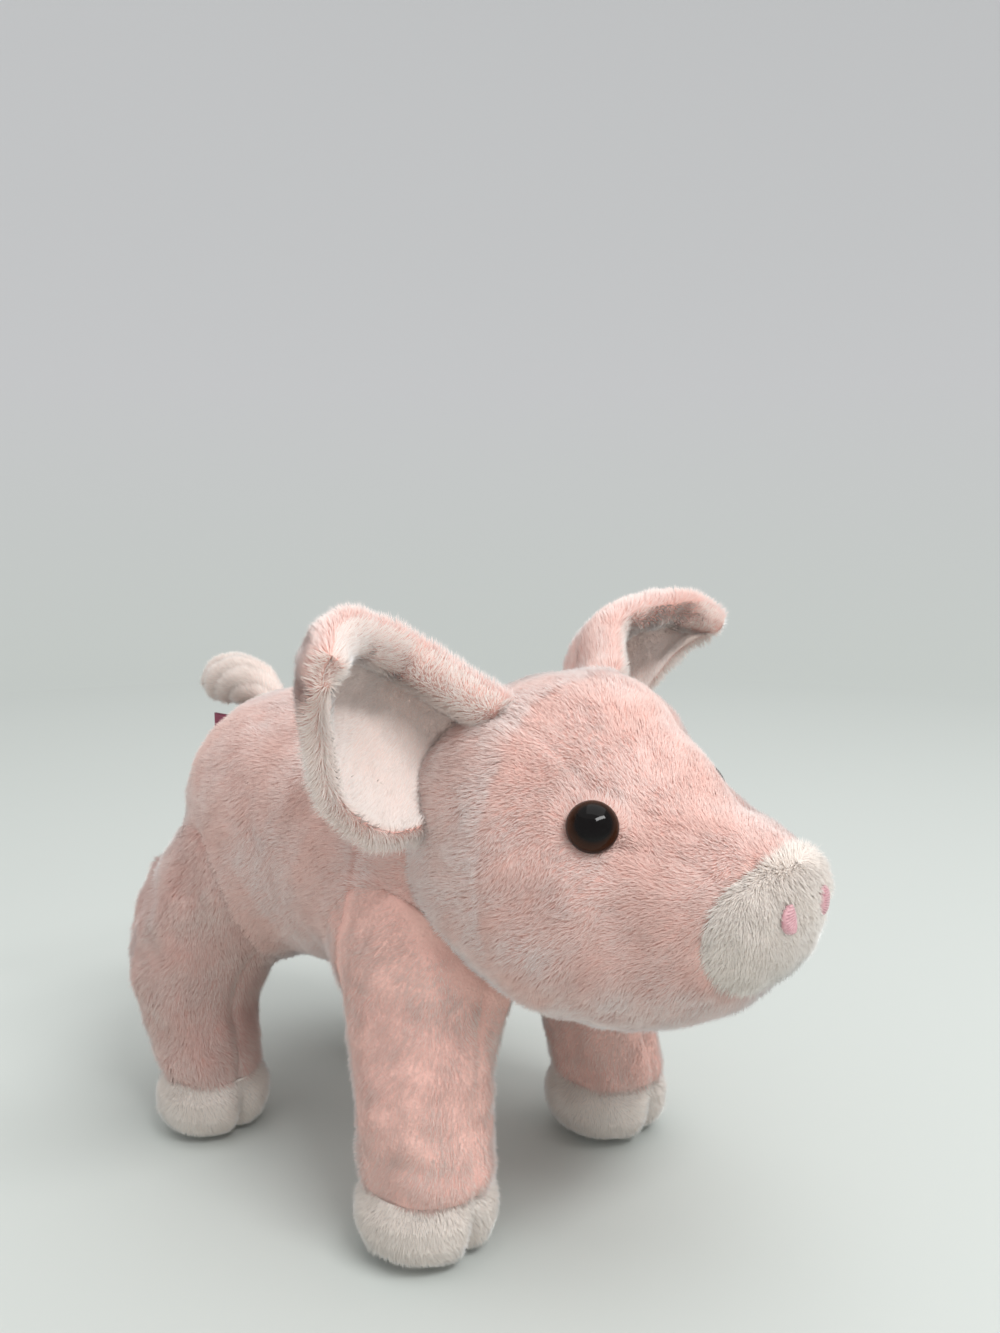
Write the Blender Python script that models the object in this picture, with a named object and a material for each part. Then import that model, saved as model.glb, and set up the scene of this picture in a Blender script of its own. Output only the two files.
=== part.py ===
"""A stuffed plush pig that stands on four hooves, about 190 mm from snout to tail.

Metres, +Z up. The pig faces -Y and its own right side is -X. The origin is on
the floor, under the middle of the whole pig. Every sewn cover is a shell with
stuffing inside. The head, legs, ears and tail are cut where the bigger form
that carries them begins.
"""

import math
from collections import namedtuple

import bmesh
import bpy
import numpy as np
from mathutils import Matrix, Vector

# Fabric, clearances and what a cutter runs past its cut
PLUSH = 0.0030
LINING = 0.0012
GAP = 0.0003
OVERRUN = 0.010

# Body: one barrel from the rump to the chest
BODY_LENGTH = 0.125
BODY_WIDTH = 0.072
BODY_HEIGHT = 0.071
BODY_CENTRE_HEIGHT = 0.0775
RUMP_REACH = 0.069
NECK_DIAMETER = 0.030

# Head: a round ball that draws out into the snout
HEAD_LENGTH = 0.0915
HEAD_WIDTH = 0.078
HEAD_HEIGHT = 0.072
HEAD_CENTRE_HEIGHT = 0.086
NAPE_REACH = -0.017
HEAD_ROLL = math.radians(-3)
HEAD_YAW = math.radians(-1.5)
SNOUT_PANEL = 0.0120
SNOUT_SEAM_RADIUS = 0.026
SNOUT_SEAM_HEIGHT = 0.0775

# Legs and hooves
STANCE_WIDTH = 0.066
HOOF_HEIGHT = 0.0155
CLEFT_DEPTH = 0.0032
CLEFT_WIDTH = 0.0050
FRONT_FOOT_REACH = -0.037
FRONT_HIP_REACH = -0.020
FRONT_HIP_WIDTH = 0.032
FRONT_ANKLE = 0.0300
FRONT_THIGH = 0.0390
FRONT_BOW = 0.0010
HIND_FOOT_REACH = 0.040
HIND_HIP_REACH = 0.043
HIND_HIP_WIDTH = 0.032
HIND_ANKLE = 0.0275
HIND_THIGH = 0.0400
HIND_BOW = 0.0080

# Ears: a cupped leaf of plush with a lining, sewn to the head along its root
EAR_LENGTH = 0.046
EAR_WIDTH = 0.038
EAR_DEPTH = 0.017
EAR_THICKNESS = 0.0050
EAR_RISE = math.radians(37)
EAR_SINK = 0.0040
EAR_LIMITS = (math.radians(-15), math.radians(15))

# Safety eyes: a dome on a post, held by a lock washer inside the head
EYE_DIAMETER = 0.0105
EYE_DOME = 0.0036
EYE_SEAT = 0.0020
EYE_POST_DIAMETER = 0.0030
EYE_POST_LENGTH = 0.0090
WASHER_DIAMETER = 0.0110
WASHER_THICKNESS = 0.0012

# Nostrils: two pads of satin stitch
NOSTRIL_LENGTH = 0.0062
NOSTRIL_WIDTH = 0.0042
NOSTRIL_SEAT = 0.0013
NOSTRIL_PAD = 0.0009
NOSTRIL_TILT = math.radians(20)

# Tail and sewn-in label
TAIL_LENGTH = 0.030
TAIL_DIAMETER = 0.0150
TAIL_RISE = math.radians(40)
TAIL_DROOP = math.radians(-35)
TAIL_TWIST = math.radians(250)
TAIL_LIMITS = (math.radians(-15), math.radians(15))
LABEL_REACH = 0.0125
LABEL_SINK = 0.0040
LABEL_WIDTH = 0.0120
LABEL_DROP = 0.0150
RIBBON = 0.0004
LABEL_LIMITS = (math.radians(-30), math.radians(30))

# Cross-sections of the body and the head, from the rear pole to the front one:
# place along the length, width, middle height, height and squareness, as shares
# of the sizes above, with heights counted from the centre in half heights.
BODY_SHARES = (
    (0.000, 0.00, 0.155, 0.00, 2.0),
    (0.024, 0.50, 0.10, 0.53, 2.1),
    (0.096, 0.81, 0.06, 0.83, 2.2),
    (0.248, 0.97, 0.01, 0.98, 2.2),
    (0.440, 1.00, 0.00, 1.00, 2.1),
    (0.630, 0.97, 0.01, 0.96, 2.1),
    (0.790, 0.91, 0.04, 0.87, 2.1),
    (0.910, 0.75, 0.08, 0.72, 2.1),
    (0.976, 0.47, 0.11, 0.46, 2.0),
    (1.000, 0.00, 0.13, 0.00, 2.0),
)
HEAD_SHARES = (
    (0.000, 0.00, 0.03, 0.00, 2.0),
    (0.034, 0.51, 0.02, 0.57, 2.1),
    (0.123, 0.79, 0.05, 0.80, 2.2),
    (0.279, 0.96, 0.04, 0.96, 2.2),
    (0.447, 1.00, 0.00, 1.01, 2.3),
    (0.592, 0.87, -0.15, 0.86, 2.3),
    (0.726, 0.70, -0.25, 0.68, 2.3),
    (0.838, 0.58, -0.24, 0.54, 2.3),
    (0.914, 0.49, -0.19, 0.42, 2.2),
    (0.957, 0.42, -0.16, 0.34, 2.2),
    (0.986, 0.29, -0.14, 0.22, 2.1),
    (1.000, 0.00, -0.14, 0.00, 2.0),
)
# A leg from the hoof's seam to the hip: rise, lean from foot to hip, thickness
# from ankle to thigh, and bow to the rear.
FRONT_LEG_SHARES = (
    (0.00, 0.00, 0.00, 0.0),
    (0.12, 0.03, -0.03, 0.0),
    (0.33, 0.15, 0.18, 0.5),
    (0.54, 0.38, 0.58, 1.0),
    (0.77, 0.70, 1.00, 0.5),
    (1.00, 1.00, 0.50, 0.0),
)
HIND_LEG_SHARES = (
    (0.00, 0.00, 0.00, 0.00),
    (0.15, 0.05, 0.10, 0.55),
    (0.36, 0.18, 0.60, 1.10),
    (0.54, 0.42, 0.90, 1.00),
    (0.77, 0.70, 1.00, 0.50),
    (1.00, 1.00, 0.70, 0.00),
)
# A hoof from the sole to its seam: height, and width against the ankle.
HOOF_SHARES = (
    (0.00, 0.68),
    (0.07, 0.84),
    (0.22, 0.98),
    (0.45, 1.07),
    (0.72, 1.07),
    (1.00, 1.00),
)
# The ear from its root to its tip: the lower edge, the bottom of the hollow and
# the upper edge, each out along, up across and forward of the root.
EAR_SHARES = (
    ((-0.03, -0.36, -0.12), (-0.01, 0.07, -0.65), (0.05, 0.38, 0.47)),
    ((0.17, -0.46, -0.20), (0.27, 0.08, -1.00), (0.41, 0.45, -0.29)),
    ((0.50, -0.46, -0.18), (0.63, 0.02, -0.82), (0.78, 0.33, -0.12)),
    ((0.76, -0.27, 0.06), (0.87, -0.07, -0.20), (0.97, 0.15, 0.20)),
    ((0.96, -0.15, 0.36), (1.00, -0.08, 0.40), (1.02, -0.01, 0.48)),
)
# Tail: thickness from its root, inside the rump, to its tip.
TAIL_SHARES = ((0.00, 0.70), (0.25, 0.90), (0.50, 1.00), (0.75, 0.96), (0.90, 0.80), (0.97, 0.50))
TAIL_LOBES = 3
TAIL_LOBE_SHARE = 0.10
# What sits on the head or body: share of the length from the rear pole, and the
# turn from the left side up over the crown.
EYE_SHARE, EYE_TURN = 0.623, math.radians(36)
TEMPLE_SHARE, TEMPLE_REACH_SHARE = 0.24, 0.18
NOSTRIL_SHARE, NOSTRIL_TURN = 0.994, math.radians(6)
EAR_SHARE, EAR_TURN = 0.253, math.radians(38)
TAIL_SHARE, TAIL_TURN = 0.085, math.radians(90)

Form = namedtuple("Form", "rings start end")


def tube(rings):
    """A form that is open at both ends."""
    return Form(np.array(rings), None, None)


def material(name, colour, roughness, metallic=0.0):
    made = bpy.data.materials.new(name)
    made.use_nodes = True
    shader = made.node_tree.nodes["Principled BSDF"]
    shader.inputs["Base Color"].default_value = (*colour, 1.0)
    shader.inputs["Roughness"].default_value = roughness
    shader.inputs["Metallic"].default_value = metallic
    return made


def smooth(rows, place, domed=False):
    """The table's row at a place of 0 to 1, on a cubic through its rows."""
    rows = np.asarray(rows, float)
    gaps = len(rows) - 1
    at = min(max(place, 0.0), 1.0) * gaps
    first = min(int(at), gaps - 1)
    step = at - first
    before, here, there, after = rows[[max(first - 1, 0), first, first + 1, min(first + 2, gaps)]]
    if domed:
        # The row beyond a pole is its neighbour turned over, which rounds the end.
        turned = np.array([1, -1, 1, -1, 1])
        before = there * turned if first == 0 else before
        after = here * turned if first == gaps - 1 else after
    leaving, arriving = (there - before) / 2, (after - here) / 2
    return (
        (2 * step**3 - 3 * step**2 + 1) * here
        + (step**3 - 2 * step**2 + step) * leaving
        + (3 * step**2 - 2 * step**3) * there
        + (step**3 - step**2) * arriving
    )


class Barrel:
    """A body or head: upright sections strung along -Y from a rear pole."""

    def __init__(self, shares, length, width, height, rear, centre_height, temples=0.0):
        self.shares, self.length, self.width, self.height = shares, length, width, height
        self.rear, self.centre_height, self.temples = rear, centre_height, temples
        self.turned = Matrix.Identity(4)

    def turn_by(self, roll, yaw):
        """Tips the form to its side and turns it, about its middle."""
        pivot = Matrix.Translation((0, self.rear - self.length / 2, self.centre_height))
        turn = Matrix.Rotation(yaw, 4, "Z") @ Matrix.Rotation(roll, 4, "Y")
        self.turned = pivot @ turn @ pivot.inverted()

    def place(self, share):
        """The place in the table at a share of the length, by halving."""
        low, high = 0.0, 1.0
        for _ in range(30):
            middle = (low + high) / 2
            if smooth(self.shares, middle, True)[0] < share:
                low = middle
            else:
                high = middle
        return (low + high) / 2

    def point(self, place, turn):
        """The skin at a place in the table and a turn from +X up over the top."""
        along, wide, middle, tall, square = smooth(self.shares, place, True)
        across, up = (
            math.copysign(abs(value) ** (2 / square), value)
            for value in (math.cos(turn), math.sin(turn))
        )
        # The sides draw in above and around the eyes.
        beside_eyes = math.exp(-(((along - EYE_SHARE) / TEMPLE_REACH_SHARE) ** 2))
        drawn_in = self.temples * beside_eyes * ((up + 1) / 2) ** 2
        side = self.width / 2 * wide * across * (1 - drawn_in)
        rise = self.height / 2 * (middle + tall * up)
        return self.turned @ Vector(
            (side, self.rear - along * self.length, self.centre_height + rise)
        )

    def slopes(self, place, turn):
        """How the skin moves with the place and with the turn."""
        small = 1e-4
        along = self.point(place + small, turn) - self.point(place - small, turn)
        around = self.point(place, turn + small) - self.point(place, turn - small)
        return along / (2 * small), around / (2 * small)

    def normal(self, place, turn):
        along, around = self.slopes(place, turn)
        return around.cross(along).normalized()

    def form(self, stations, sides):
        places = [i / stations for i in range(1, stations)]
        turns = [math.tau * j / sides for j in range(sides)]
        rings = np.array([[self.point(p, t) for t in turns] for p in places])
        return Form(rings, np.array(self.point(0, 0)), np.array(self.point(1, 0)))


def moved(form, distance):
    """The same form with its skin moved out by a distance along its normals."""
    rings = form.rings
    first = rings[0] if form.start is None else np.broadcast_to(form.start, rings[0].shape)
    last = rings[-1] if form.end is None else np.broadcast_to(form.end, rings[-1].shape)
    along = np.concatenate([rings[1:], last[None]]) - np.concatenate([first[None], rings[:-1]])
    around = np.roll(rings, -1, axis=1) - np.roll(rings, 1, axis=1)
    out = np.cross(around, along)
    out /= np.linalg.norm(out, axis=2, keepdims=True)
    out *= np.sign((out * (rings - rings.mean(axis=1, keepdims=True))).sum())
    spine = rings[-1].mean(axis=0) - rings[0].mean(axis=0)
    spine /= np.linalg.norm(spine)
    start = None if form.start is None else form.start - distance * spine
    end = None if form.end is None else form.end + distance * spine
    return Form(rings + distance * out, start, end)


def add_skin(bm, form):
    """Adds the form's faces, facing out, and returns its end rings and the faces."""
    rings = [[bm.verts.new(point) for point in ring] for ring in form.rings]
    sides = len(rings[0])
    made = []
    for lower, upper in zip(rings, rings[1:]):
        for j in range(sides):
            k = (j + 1) % sides
            made.append(bm.faces.new((lower[j], lower[k], upper[k], upper[j])))
    if form.start is not None:
        tip = bm.verts.new(form.start)
        made += [bm.faces.new((rings[0][j], rings[0][j - 1], tip)) for j in range(sides)]
        tip = bm.verts.new(form.end)
        made += [bm.faces.new((rings[-1][j - 1], rings[-1][j], tip)) for j in range(sides)]
        middle = Vector(form.rings.mean(axis=(0, 1)))
        corners = [[vert.co - middle for vert in face.verts] for face in made]
        if sum(c[0].dot((c[1] - c[0]).cross(c[2] - c[0])) for c in corners) < 0:
            bmesh.ops.reverse_faces(bm, faces=made)
    return rings[0], rings[-1], made


def finished(name, bm, surface=None):
    """Makes the object, or a hidden guide where it has no surface of its own."""
    mesh = bpy.data.meshes.new(name)
    bm.to_mesh(mesh)
    bm.free()
    mesh.shade_smooth()
    mesh.set_sharp_from_angle(angle=math.radians(50))
    obj = bpy.data.objects.new(name, mesh)
    bpy.context.scene.collection.objects.link(obj)
    obj.parent = pig
    if surface:
        mesh.materials.append(surface)
    else:
        obj.hide_render = True
        obj.display_type = "WIRE"
    return obj


def solid(name, form, surface=None):
    bm = bmesh.new()
    first, last, _ = add_skin(bm, form)
    if form.start is None:
        bm.faces.new(first)
        bm.faces.new(last)
    bmesh.ops.recalc_face_normals(bm, faces=bm.faces)
    return finished(name, bm, surface)


def shell(name, form, surface):
    """A closed cover: the form outside, and the same form moved in inside it."""
    bm = bmesh.new()
    add_skin(bm, form)
    bmesh.ops.reverse_faces(bm, faces=add_skin(bm, moved(form, -PLUSH))[2])
    return finished(name, bm, surface)


def cup(name, outer, inner, surface, floored):
    """A sleeve between two open forms, rimmed at the top and rimmed or floored below."""
    bm = bmesh.new()
    low, high, _ = add_skin(bm, outer)
    low_in, high_in, _ = add_skin(bm, inner)
    if floored:
        bm.faces.new(low)
        bm.faces.new(low_in)
    for out, within in ((high, high_in),) if floored else ((low, low_in), (high, high_in)):
        for j in range(len(out)):
            bm.faces.new((out[j - 1], out[j], within[j], within[j - 1]))
    bmesh.ops.recalc_face_normals(bm, faces=bm.faces)
    return finished(name, bm, surface)


def cut(obj, *tools, operation="DIFFERENCE"):
    for tool in tools:
        modifier = obj.modifiers.new(tool.name, "BOOLEAN")
        modifier.operation = operation
        modifier.solver = "EXACT"
        modifier.object = tool


def lathe(name, profile, surface=None, sides=16):
    """Turns (radius, height) pairs about +Z: from axis to axis, or a closed ring."""
    bm = bmesh.new()
    points = [bm.verts.new((r, 0, z)) for r, z in profile]
    edges = [bm.edges.new(pair) for pair in zip(points, points[1:])]
    if profile[0][0] > 0:
        edges.append(bm.edges.new((points[-1], points[0])))
    bmesh.ops.spin(bm, geom=points + edges, axis=(0, 0, 1), cent=(0, 0, 0), steps=sides,
                   angle=math.tau, use_duplicate=False)
    bmesh.ops.remove_doubles(bm, verts=bm.verts, dist=GAP / 100)
    bmesh.ops.recalc_face_normals(bm, faces=bm.faces)
    return finished(name, bm, surface)


def stand(obj, point, direction):
    """Puts the object's origin at a point, with its +Z along a direction."""
    turn = direction.to_track_quat("Z", "Y").to_matrix().to_4x4()
    obj.matrix_basis = Matrix.Translation(point) @ turn


def hinge(name, point, axis):
    """An empty on a joint's axis, for the pieces that turn about it."""
    empty = bpy.data.objects.new(name, None)
    bpy.context.scene.collection.objects.link(empty)
    empty.parent = pig
    stand(empty, point, axis)
    return empty


def hang(obj, empty):
    obj.parent = empty
    obj.matrix_parent_inverse = empty.matrix_basis.inverted()


def relief(carrier, name, point, axis, limits):
    """The carrier turned back by each limit, so that what it cuts can turn that far."""
    made = []
    for limit in limits:
        copy = carrier.copy()
        copy.name = f"{name}_at_{round(math.degrees(limit))}"
        bpy.context.scene.collection.objects.link(copy)
        turn = Matrix.Rotation(-limit, 4, axis)
        copy.matrix_basis = Matrix.Translation(point) @ turn @ Matrix.Translation(-point)
        made.append(copy)
    return made


def leg_rings(shares, side, turns, inset, foot, hip, ankle, thigh, bow):
    """Level rings from the hoof's seam up to the hip inside the body."""
    rings, stations = [], 9
    for i in range(stations + 1):
        rise, lean, thick, bowed = smooth(shares, i / stations)
        x = STANCE_WIDTH / 2 + (hip[0] - STANCE_WIDTH / 2) * lean
        y = foot + (hip[1] - foot) * lean + bow * bowed
        seam = HOOF_HEIGHT + GAP / 2
        radius = (ankle + (thigh - ankle) * thick) / 2 - inset
        rings.append([(side * (x + radius * math.cos(t)), y + radius * math.sin(t),
                       seam + (hip[2] - seam) * rise) for t in turns])
    return rings


def hoof_rings(side, turns, inset, foot, ankle):
    """Level rings from the flat sole to the seam, drawn in at the cleft in front."""
    rings = []
    top = HOOF_HEIGHT - GAP / 2
    for height, wide in HOOF_SHARES:
        half = ankle / 2 * wide - inset
        ring = []
        for t in turns:
            away = (t + math.pi / 2) * ankle / CLEFT_WIDTH
            radius = half - CLEFT_DEPTH * (1 - height**2) * math.exp(-(away**2))
            ring.append((side * (STANCE_WIDTH / 2 + radius * math.cos(t)),
                         foot + radius * math.sin(t), inset + (top - inset) * height))
        rings.append(ring)
    return rings


def leg(name, side, front):
    """One leg: its plush sleeve, its hoof cup and the stuffing that fills both."""
    if front:
        foot, hip = FRONT_FOOT_REACH, (FRONT_HIP_WIDTH / 2, FRONT_HIP_REACH, BODY_CENTRE_HEIGHT)
        ankle, thigh, bow = FRONT_ANKLE, FRONT_THIGH, FRONT_BOW
        shares, carriers = FRONT_LEG_SHARES, (body_space, head_space)
    else:
        foot, hip = HIND_FOOT_REACH, (HIND_HIP_WIDTH / 2, HIND_HIP_REACH, BODY_CENTRE_HEIGHT)
        ankle, thigh, bow = HIND_ANKLE, HIND_THIGH, HIND_BOW
        shares, carriers = HIND_LEG_SHARES, (body_space,)
    # Two more lines of points beside the middle of the toes draw the cleft.
    turns = [math.tau * j / 16 - math.pi / 2 for j in range(16)]
    turns = sorted(turns + [math.tau * j / 32 - math.pi / 2 for j in (-1, 1)])
    sleeve, toe = (
        [rings(inset) for inset in (0, PLUSH, PLUSH + GAP)]
        for rings in (
            lambda inset: leg_rings(shares, side, turns, inset, foot, hip, ankle, thigh, bow),
            lambda inset: hoof_rings(side, turns, inset, foot, ankle),
        )
    )
    cover = cup(name + "_cover", tube(sleeve[0]), tube(sleeve[1]), PINK, floored=False)
    cup(name + "_hoof", tube(toe[0]), tube(toe[1]), WHITE, floored=True)
    stuffing = solid(name + "_stuffing", tube(toe[2] + sleeve[2]), FIBRE)
    for piece in (cover, stuffing):
        cut(piece, *carriers)


def ear_grid(side, root, along, across):
    """Points in the middle of the ear's leaf, and its directions out of the hollow."""
    frame = head.turned.to_3x3() @ Matrix((
        (side * math.cos(EAR_RISE), -side * math.sin(EAR_RISE), 0),
        (0, 0, -1),
        (math.sin(EAR_RISE), math.cos(EAR_RISE), 0),
    ))
    scale = np.array([EAR_LENGTH, EAR_WIDTH, EAR_DEPTH])
    table = [np.ravel(row) for row in EAR_SHARES]
    shares = np.zeros((along + 1, across + 1, 3))
    for i in range(along + 1):
        lower, hollow, upper = smooth(table, i / along).reshape(3, 3)
        for j in range(across + 1):
            v = 2 * j / across - 1
            shares[i, j] = lower * v * (v - 1) / 2 + hollow * (1 - v * v) + upper * v * (v + 1) / 2
    points = (shares * scale) @ np.array(frame).T + np.array(root)
    slope = np.cross(np.gradient(points, axis=0), np.gradient(points, axis=1)) * side
    slope /= np.linalg.norm(slope, axis=2, keepdims=True)
    return points, slope


def leaf(name, back, front, edge, surface):
    """Closes two grids of points into one thick leaf with a rounded rim."""
    bm = bmesh.new()
    rows, columns = back.shape[:2]
    walls = []
    for grid in (back, front):
        made = [[bm.verts.new(p) for p in row] for row in grid]
        for i in range(rows - 1):
            for j in range(columns - 1):
                bm.faces.new((made[i][j], made[i][j + 1], made[i + 1][j + 1], made[i + 1][j]))
        walls.append(made)

    def border(grid):
        last = len(grid[0]) - 1
        return (list(grid[0]) + [row[last] for row in grid[1:-1]]
                + list(grid[-1])[::-1] + [row[0] for row in grid[1:-1]][::-1])

    loops = [border(walls[0]), [bm.verts.new(p) for p in border(edge)], border(walls[1])]
    for lower, upper in zip(loops, loops[1:]):
        for j in range(len(lower)):
            bm.faces.new((lower[j - 1], lower[j], upper[j], upper[j - 1]))
    bmesh.ops.recalc_face_normals(bm, faces=bm.faces)
    return finished(name, bm, surface)


def rimmed(points, reach):
    """The grid with its border moved out sideways, for a rounded rim."""
    out = points.copy()
    for row, inner in ((0, 1), (-1, -2)):
        step = points[row] - points[inner]
        out[row] += step / np.linalg.norm(step, axis=1, keepdims=True) * reach
    for column, inner in ((0, 1), (-1, -2)):
        step = points[:, column] - points[:, inner]
        out[:, column] += step / np.linalg.norm(step, axis=1, keepdims=True) * reach
    return out


def ear(name, side):
    """One ear: the plush leaf, its lining, and the line of stitches it turns about."""
    place = head.place(EAR_SHARE)
    turn = EAR_TURN if side > 0 else math.pi - EAR_TURN
    point, normal = head.point(place, turn), head.normal(place, turn)
    middle, slope = ear_grid(side, point - normal * EAR_SINK, 10, 8)
    half = EAR_THICKNESS / 2
    rim = rimmed(middle, half)
    plush = leaf(name + "_plush", middle - slope * half, middle + slope * half, rim, PINK)
    # The lining stops one row short of the rim.
    under, core, over = (
        (middle + slope * (half + GAP + LINING * share))[:-1, 1:-1] for share in (0, 0.5, 1)
    )
    lining = leaf(name + "_lining", under, over, rimmed(core, LINING / 2), SATIN)
    axis = Vector(middle[0, -1] - middle[0, 0]).normalized()
    line = hinge(name + "_root", point, axis)
    spaces = relief(head_space, name + "_head", point, axis, EAR_LIMITS)
    for piece in (plush, lining):
        cut(piece, *spaces)
        hang(piece, line)


def eye(name, side):
    """A safety eye: dome and post in one, its washer, and the hole for them."""
    place = head.place(EYE_SHARE)
    turn = EYE_TURN if side > 0 else math.pi - EYE_TURN
    point, normal = head.point(place, turn), head.normal(place, turn)
    radius, post = EYE_DIAMETER / 2, EYE_POST_DIAMETER / 2
    base = GAP - EYE_SEAT
    dome = [
        (radius * math.cos(a), base + radius / 8 + EYE_DOME * math.sin(a))
        for a in (math.pi / 2 * i / 6 for i in range(7))
    ]
    dome[-1] = (0, dome[-1][1])
    foot = [(0, -EYE_POST_LENGTH), (post, -EYE_POST_LENGTH), (post, base), (radius, base)]
    stand(lathe(name, foot + dome, GLOSS), point, normal)

    # The washer clears the curve of the cover's inner face.
    top = -PLUSH - 2 * GAP - WASHER_DIAMETER**2 / HEAD_WIDTH / 2
    bore, rim = post + GAP, WASHER_DIAMETER / 2
    bottom = top - WASHER_THICKNESS
    ring = [(bore, bottom), (rim, bottom), (rim, top), (bore, top)]
    stand(lathe(name + "_washer", ring, NYLON), point, normal)

    seat = [(0, -PLUSH - OVERRUN), (bore, -PLUSH - OVERRUN), (bore, -EYE_SEAT),
            (radius + GAP, -EYE_SEAT), (radius + GAP, OVERRUN), (0, OVERRUN)]
    socket = lathe(name + "_socket", seat)
    pocket = [(0, -EYE_POST_LENGTH - GAP), (bore, -EYE_POST_LENGTH - GAP), (bore, bottom - GAP),
              (rim + GAP, bottom - GAP), (rim + GAP, 0), (0, 0)]
    hollow = lathe(name + "_pocket", pocket)
    for tool in (socket, hollow):
        stand(tool, point, normal)
    cut(head_cover, socket)
    cut(head_stuffing, hollow)


def stitched(side, grown, levels):
    """Ovals that follow the snout: for each level a share of the size and a height."""
    place = head.place(NOSTRIL_SHARE)
    turn = NOSTRIL_TURN if side > 0 else math.pi - NOSTRIL_TURN
    along, around = head.slopes(place, turn)
    rings = []
    for share, height in levels:
        ring = []
        for t in (math.tau * j / 16 for j in range(16)):
            x = (NOSTRIL_WIDTH / 2 * share + grown) * math.cos(t)
            y = (NOSTRIL_LENGTH / 2 * share + grown) * math.sin(t)
            a = x * math.cos(NOSTRIL_TILT) - y * math.sin(NOSTRIL_TILT)
            b = x * math.sin(NOSTRIL_TILT) + y * math.cos(NOSTRIL_TILT)
            at = place + a / along.length, turn + side * b / around.length
            ring.append(head.point(*at) + head.normal(*at) * height)
        rings.append(ring)
    foot, top = (
        head.point(place, turn) + head.normal(place, turn) * levels[end][1] for end in (0, -1)
    )
    return Form(np.array(rings), np.array(foot), np.array(top))


def nostril(name, side):
    """An oval pad of stitches, sunk into the pile of the snout."""
    foot, top = GAP - NOSTRIL_SEAT, GAP - NOSTRIL_SEAT + NOSTRIL_PAD
    levels = ((1, foot), (1, (foot + top) / 2), (0.8, top - GAP / 2), (0.45, top))
    solid(name, stitched(side, 0, levels), THREAD)
    cut(snout_cover, solid(name + "_seat", stitched(side, GAP, ((1, -NOSTRIL_SEAT), (1, OVERRUN)))))


def tail():
    """A fat stub of plush, wrung into lobes that wind round it, cut by the rump."""
    place = body.place(TAIL_SHARE)
    root = body.point(place, TAIL_TURN)
    stations, sides = 14, 15
    step = TAIL_LENGTH / stations
    centre = root - Vector((0, math.cos(TAIL_RISE), math.sin(TAIL_RISE))) * OVERRUN / 2
    rings = []
    for i in range(stations + 1):
        share = TAIL_SHARES[-1][0] * i / stations
        heading = TAIL_RISE + (TAIL_DROOP - TAIL_RISE) * share
        forward = Vector((0, math.cos(heading), math.sin(heading)))
        up = Vector((0, -math.sin(heading), math.cos(heading)))
        thick = np.interp(share, *zip(*TAIL_SHARES)) * TAIL_DIAMETER / 2
        ring = []
        for t in (math.tau * j / sides for j in range(sides)):
            lobe = 1 + TAIL_LOBE_SHARE * math.cos(TAIL_LOBES * t - TAIL_TWIST * TAIL_LOBES * share)
            ring.append(centre + (Vector((1, 0, 0)) * math.cos(t) + up * math.sin(t)) * thick * lobe)
        rings.append(ring)
        centre = centre + forward * step
    piece = solid("tail", tube(rings), PINK)
    line = hinge("tail_root", root, Vector((0, 0, 1)))
    cut(piece, *relief(body_space, "tail_body", root, Vector((0, 0, 1)), TAIL_LIMITS))
    hang(piece, line)


def label():
    """A bare ribbon folded end to end, its ends sewn into the seam of the rump."""
    # The place on the rump's own curve that is the drop below the tail's root
    height = body.point(body.place(TAIL_SHARE), TAIL_TURN).z - LABEL_DROP
    low, high = 0.0, body.place(TAIL_SHARE)
    for _ in range(30):
        middle = (low + high) / 2
        if body.point(middle, TAIL_TURN).z < height:
            low = middle
        else:
            high = middle
    root = body.point(low, TAIL_TURN)
    out = RIBBON + GAP / 2
    inside, end = root.y - LABEL_SINK, root.y + LABEL_REACH
    outline = [(-out, inside), (-out, end - out), (0, end), (out, end - out), (out, inside),
               (GAP / 2, inside), (GAP / 2, end - 2 * out), (-GAP / 2, end - 2 * out), (-GAP / 2, inside)]
    bm = bmesh.new()
    face = bm.faces.new([bm.verts.new((x, y, root.z - LABEL_WIDTH / 2)) for x, y in outline])
    risen = bmesh.ops.extrude_face_region(bm, geom=[face])["geom"]
    bmesh.ops.translate(bm, vec=(0, 0, LABEL_WIDTH),
                        verts=[g for g in risen if isinstance(g, bmesh.types.BMVert)])
    bmesh.ops.recalc_face_normals(bm, faces=bm.faces)
    piece = finished("label", bm, RIBBON_RED)
    line = hinge("label_root", root, Vector((0, 0, 1)))
    cut(piece, *relief(body_space, "label_body", root, Vector((0, 0, 1)), LABEL_LIMITS))
    hang(piece, line)


for old in list(bpy.data.objects):
    bpy.data.objects.remove(old, do_unlink=True)

PINK = material("pink_plush", (0.78, 0.50, 0.44), 0.95)
WHITE = material("white_plush", (0.72, 0.67, 0.61), 0.95)
SATIN = material("ear_lining", (0.80, 0.62, 0.56), 0.80)
FIBRE = material("stuffing_fibre", (0.85, 0.85, 0.83), 1.0)
GLOSS = material("eye_plastic", (0.02, 0.012, 0.008), 0.08)
NYLON = material("washer_nylon", (0.80, 0.80, 0.78), 0.45)
THREAD = material("nostril_thread", (0.62, 0.30, 0.30), 0.60)
RIBBON_RED = material("label_ribbon", (0.16, 0.01, 0.04), 0.55)

pig = bpy.data.objects.new("pig", None)
bpy.context.scene.collection.objects.link(pig)

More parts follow.
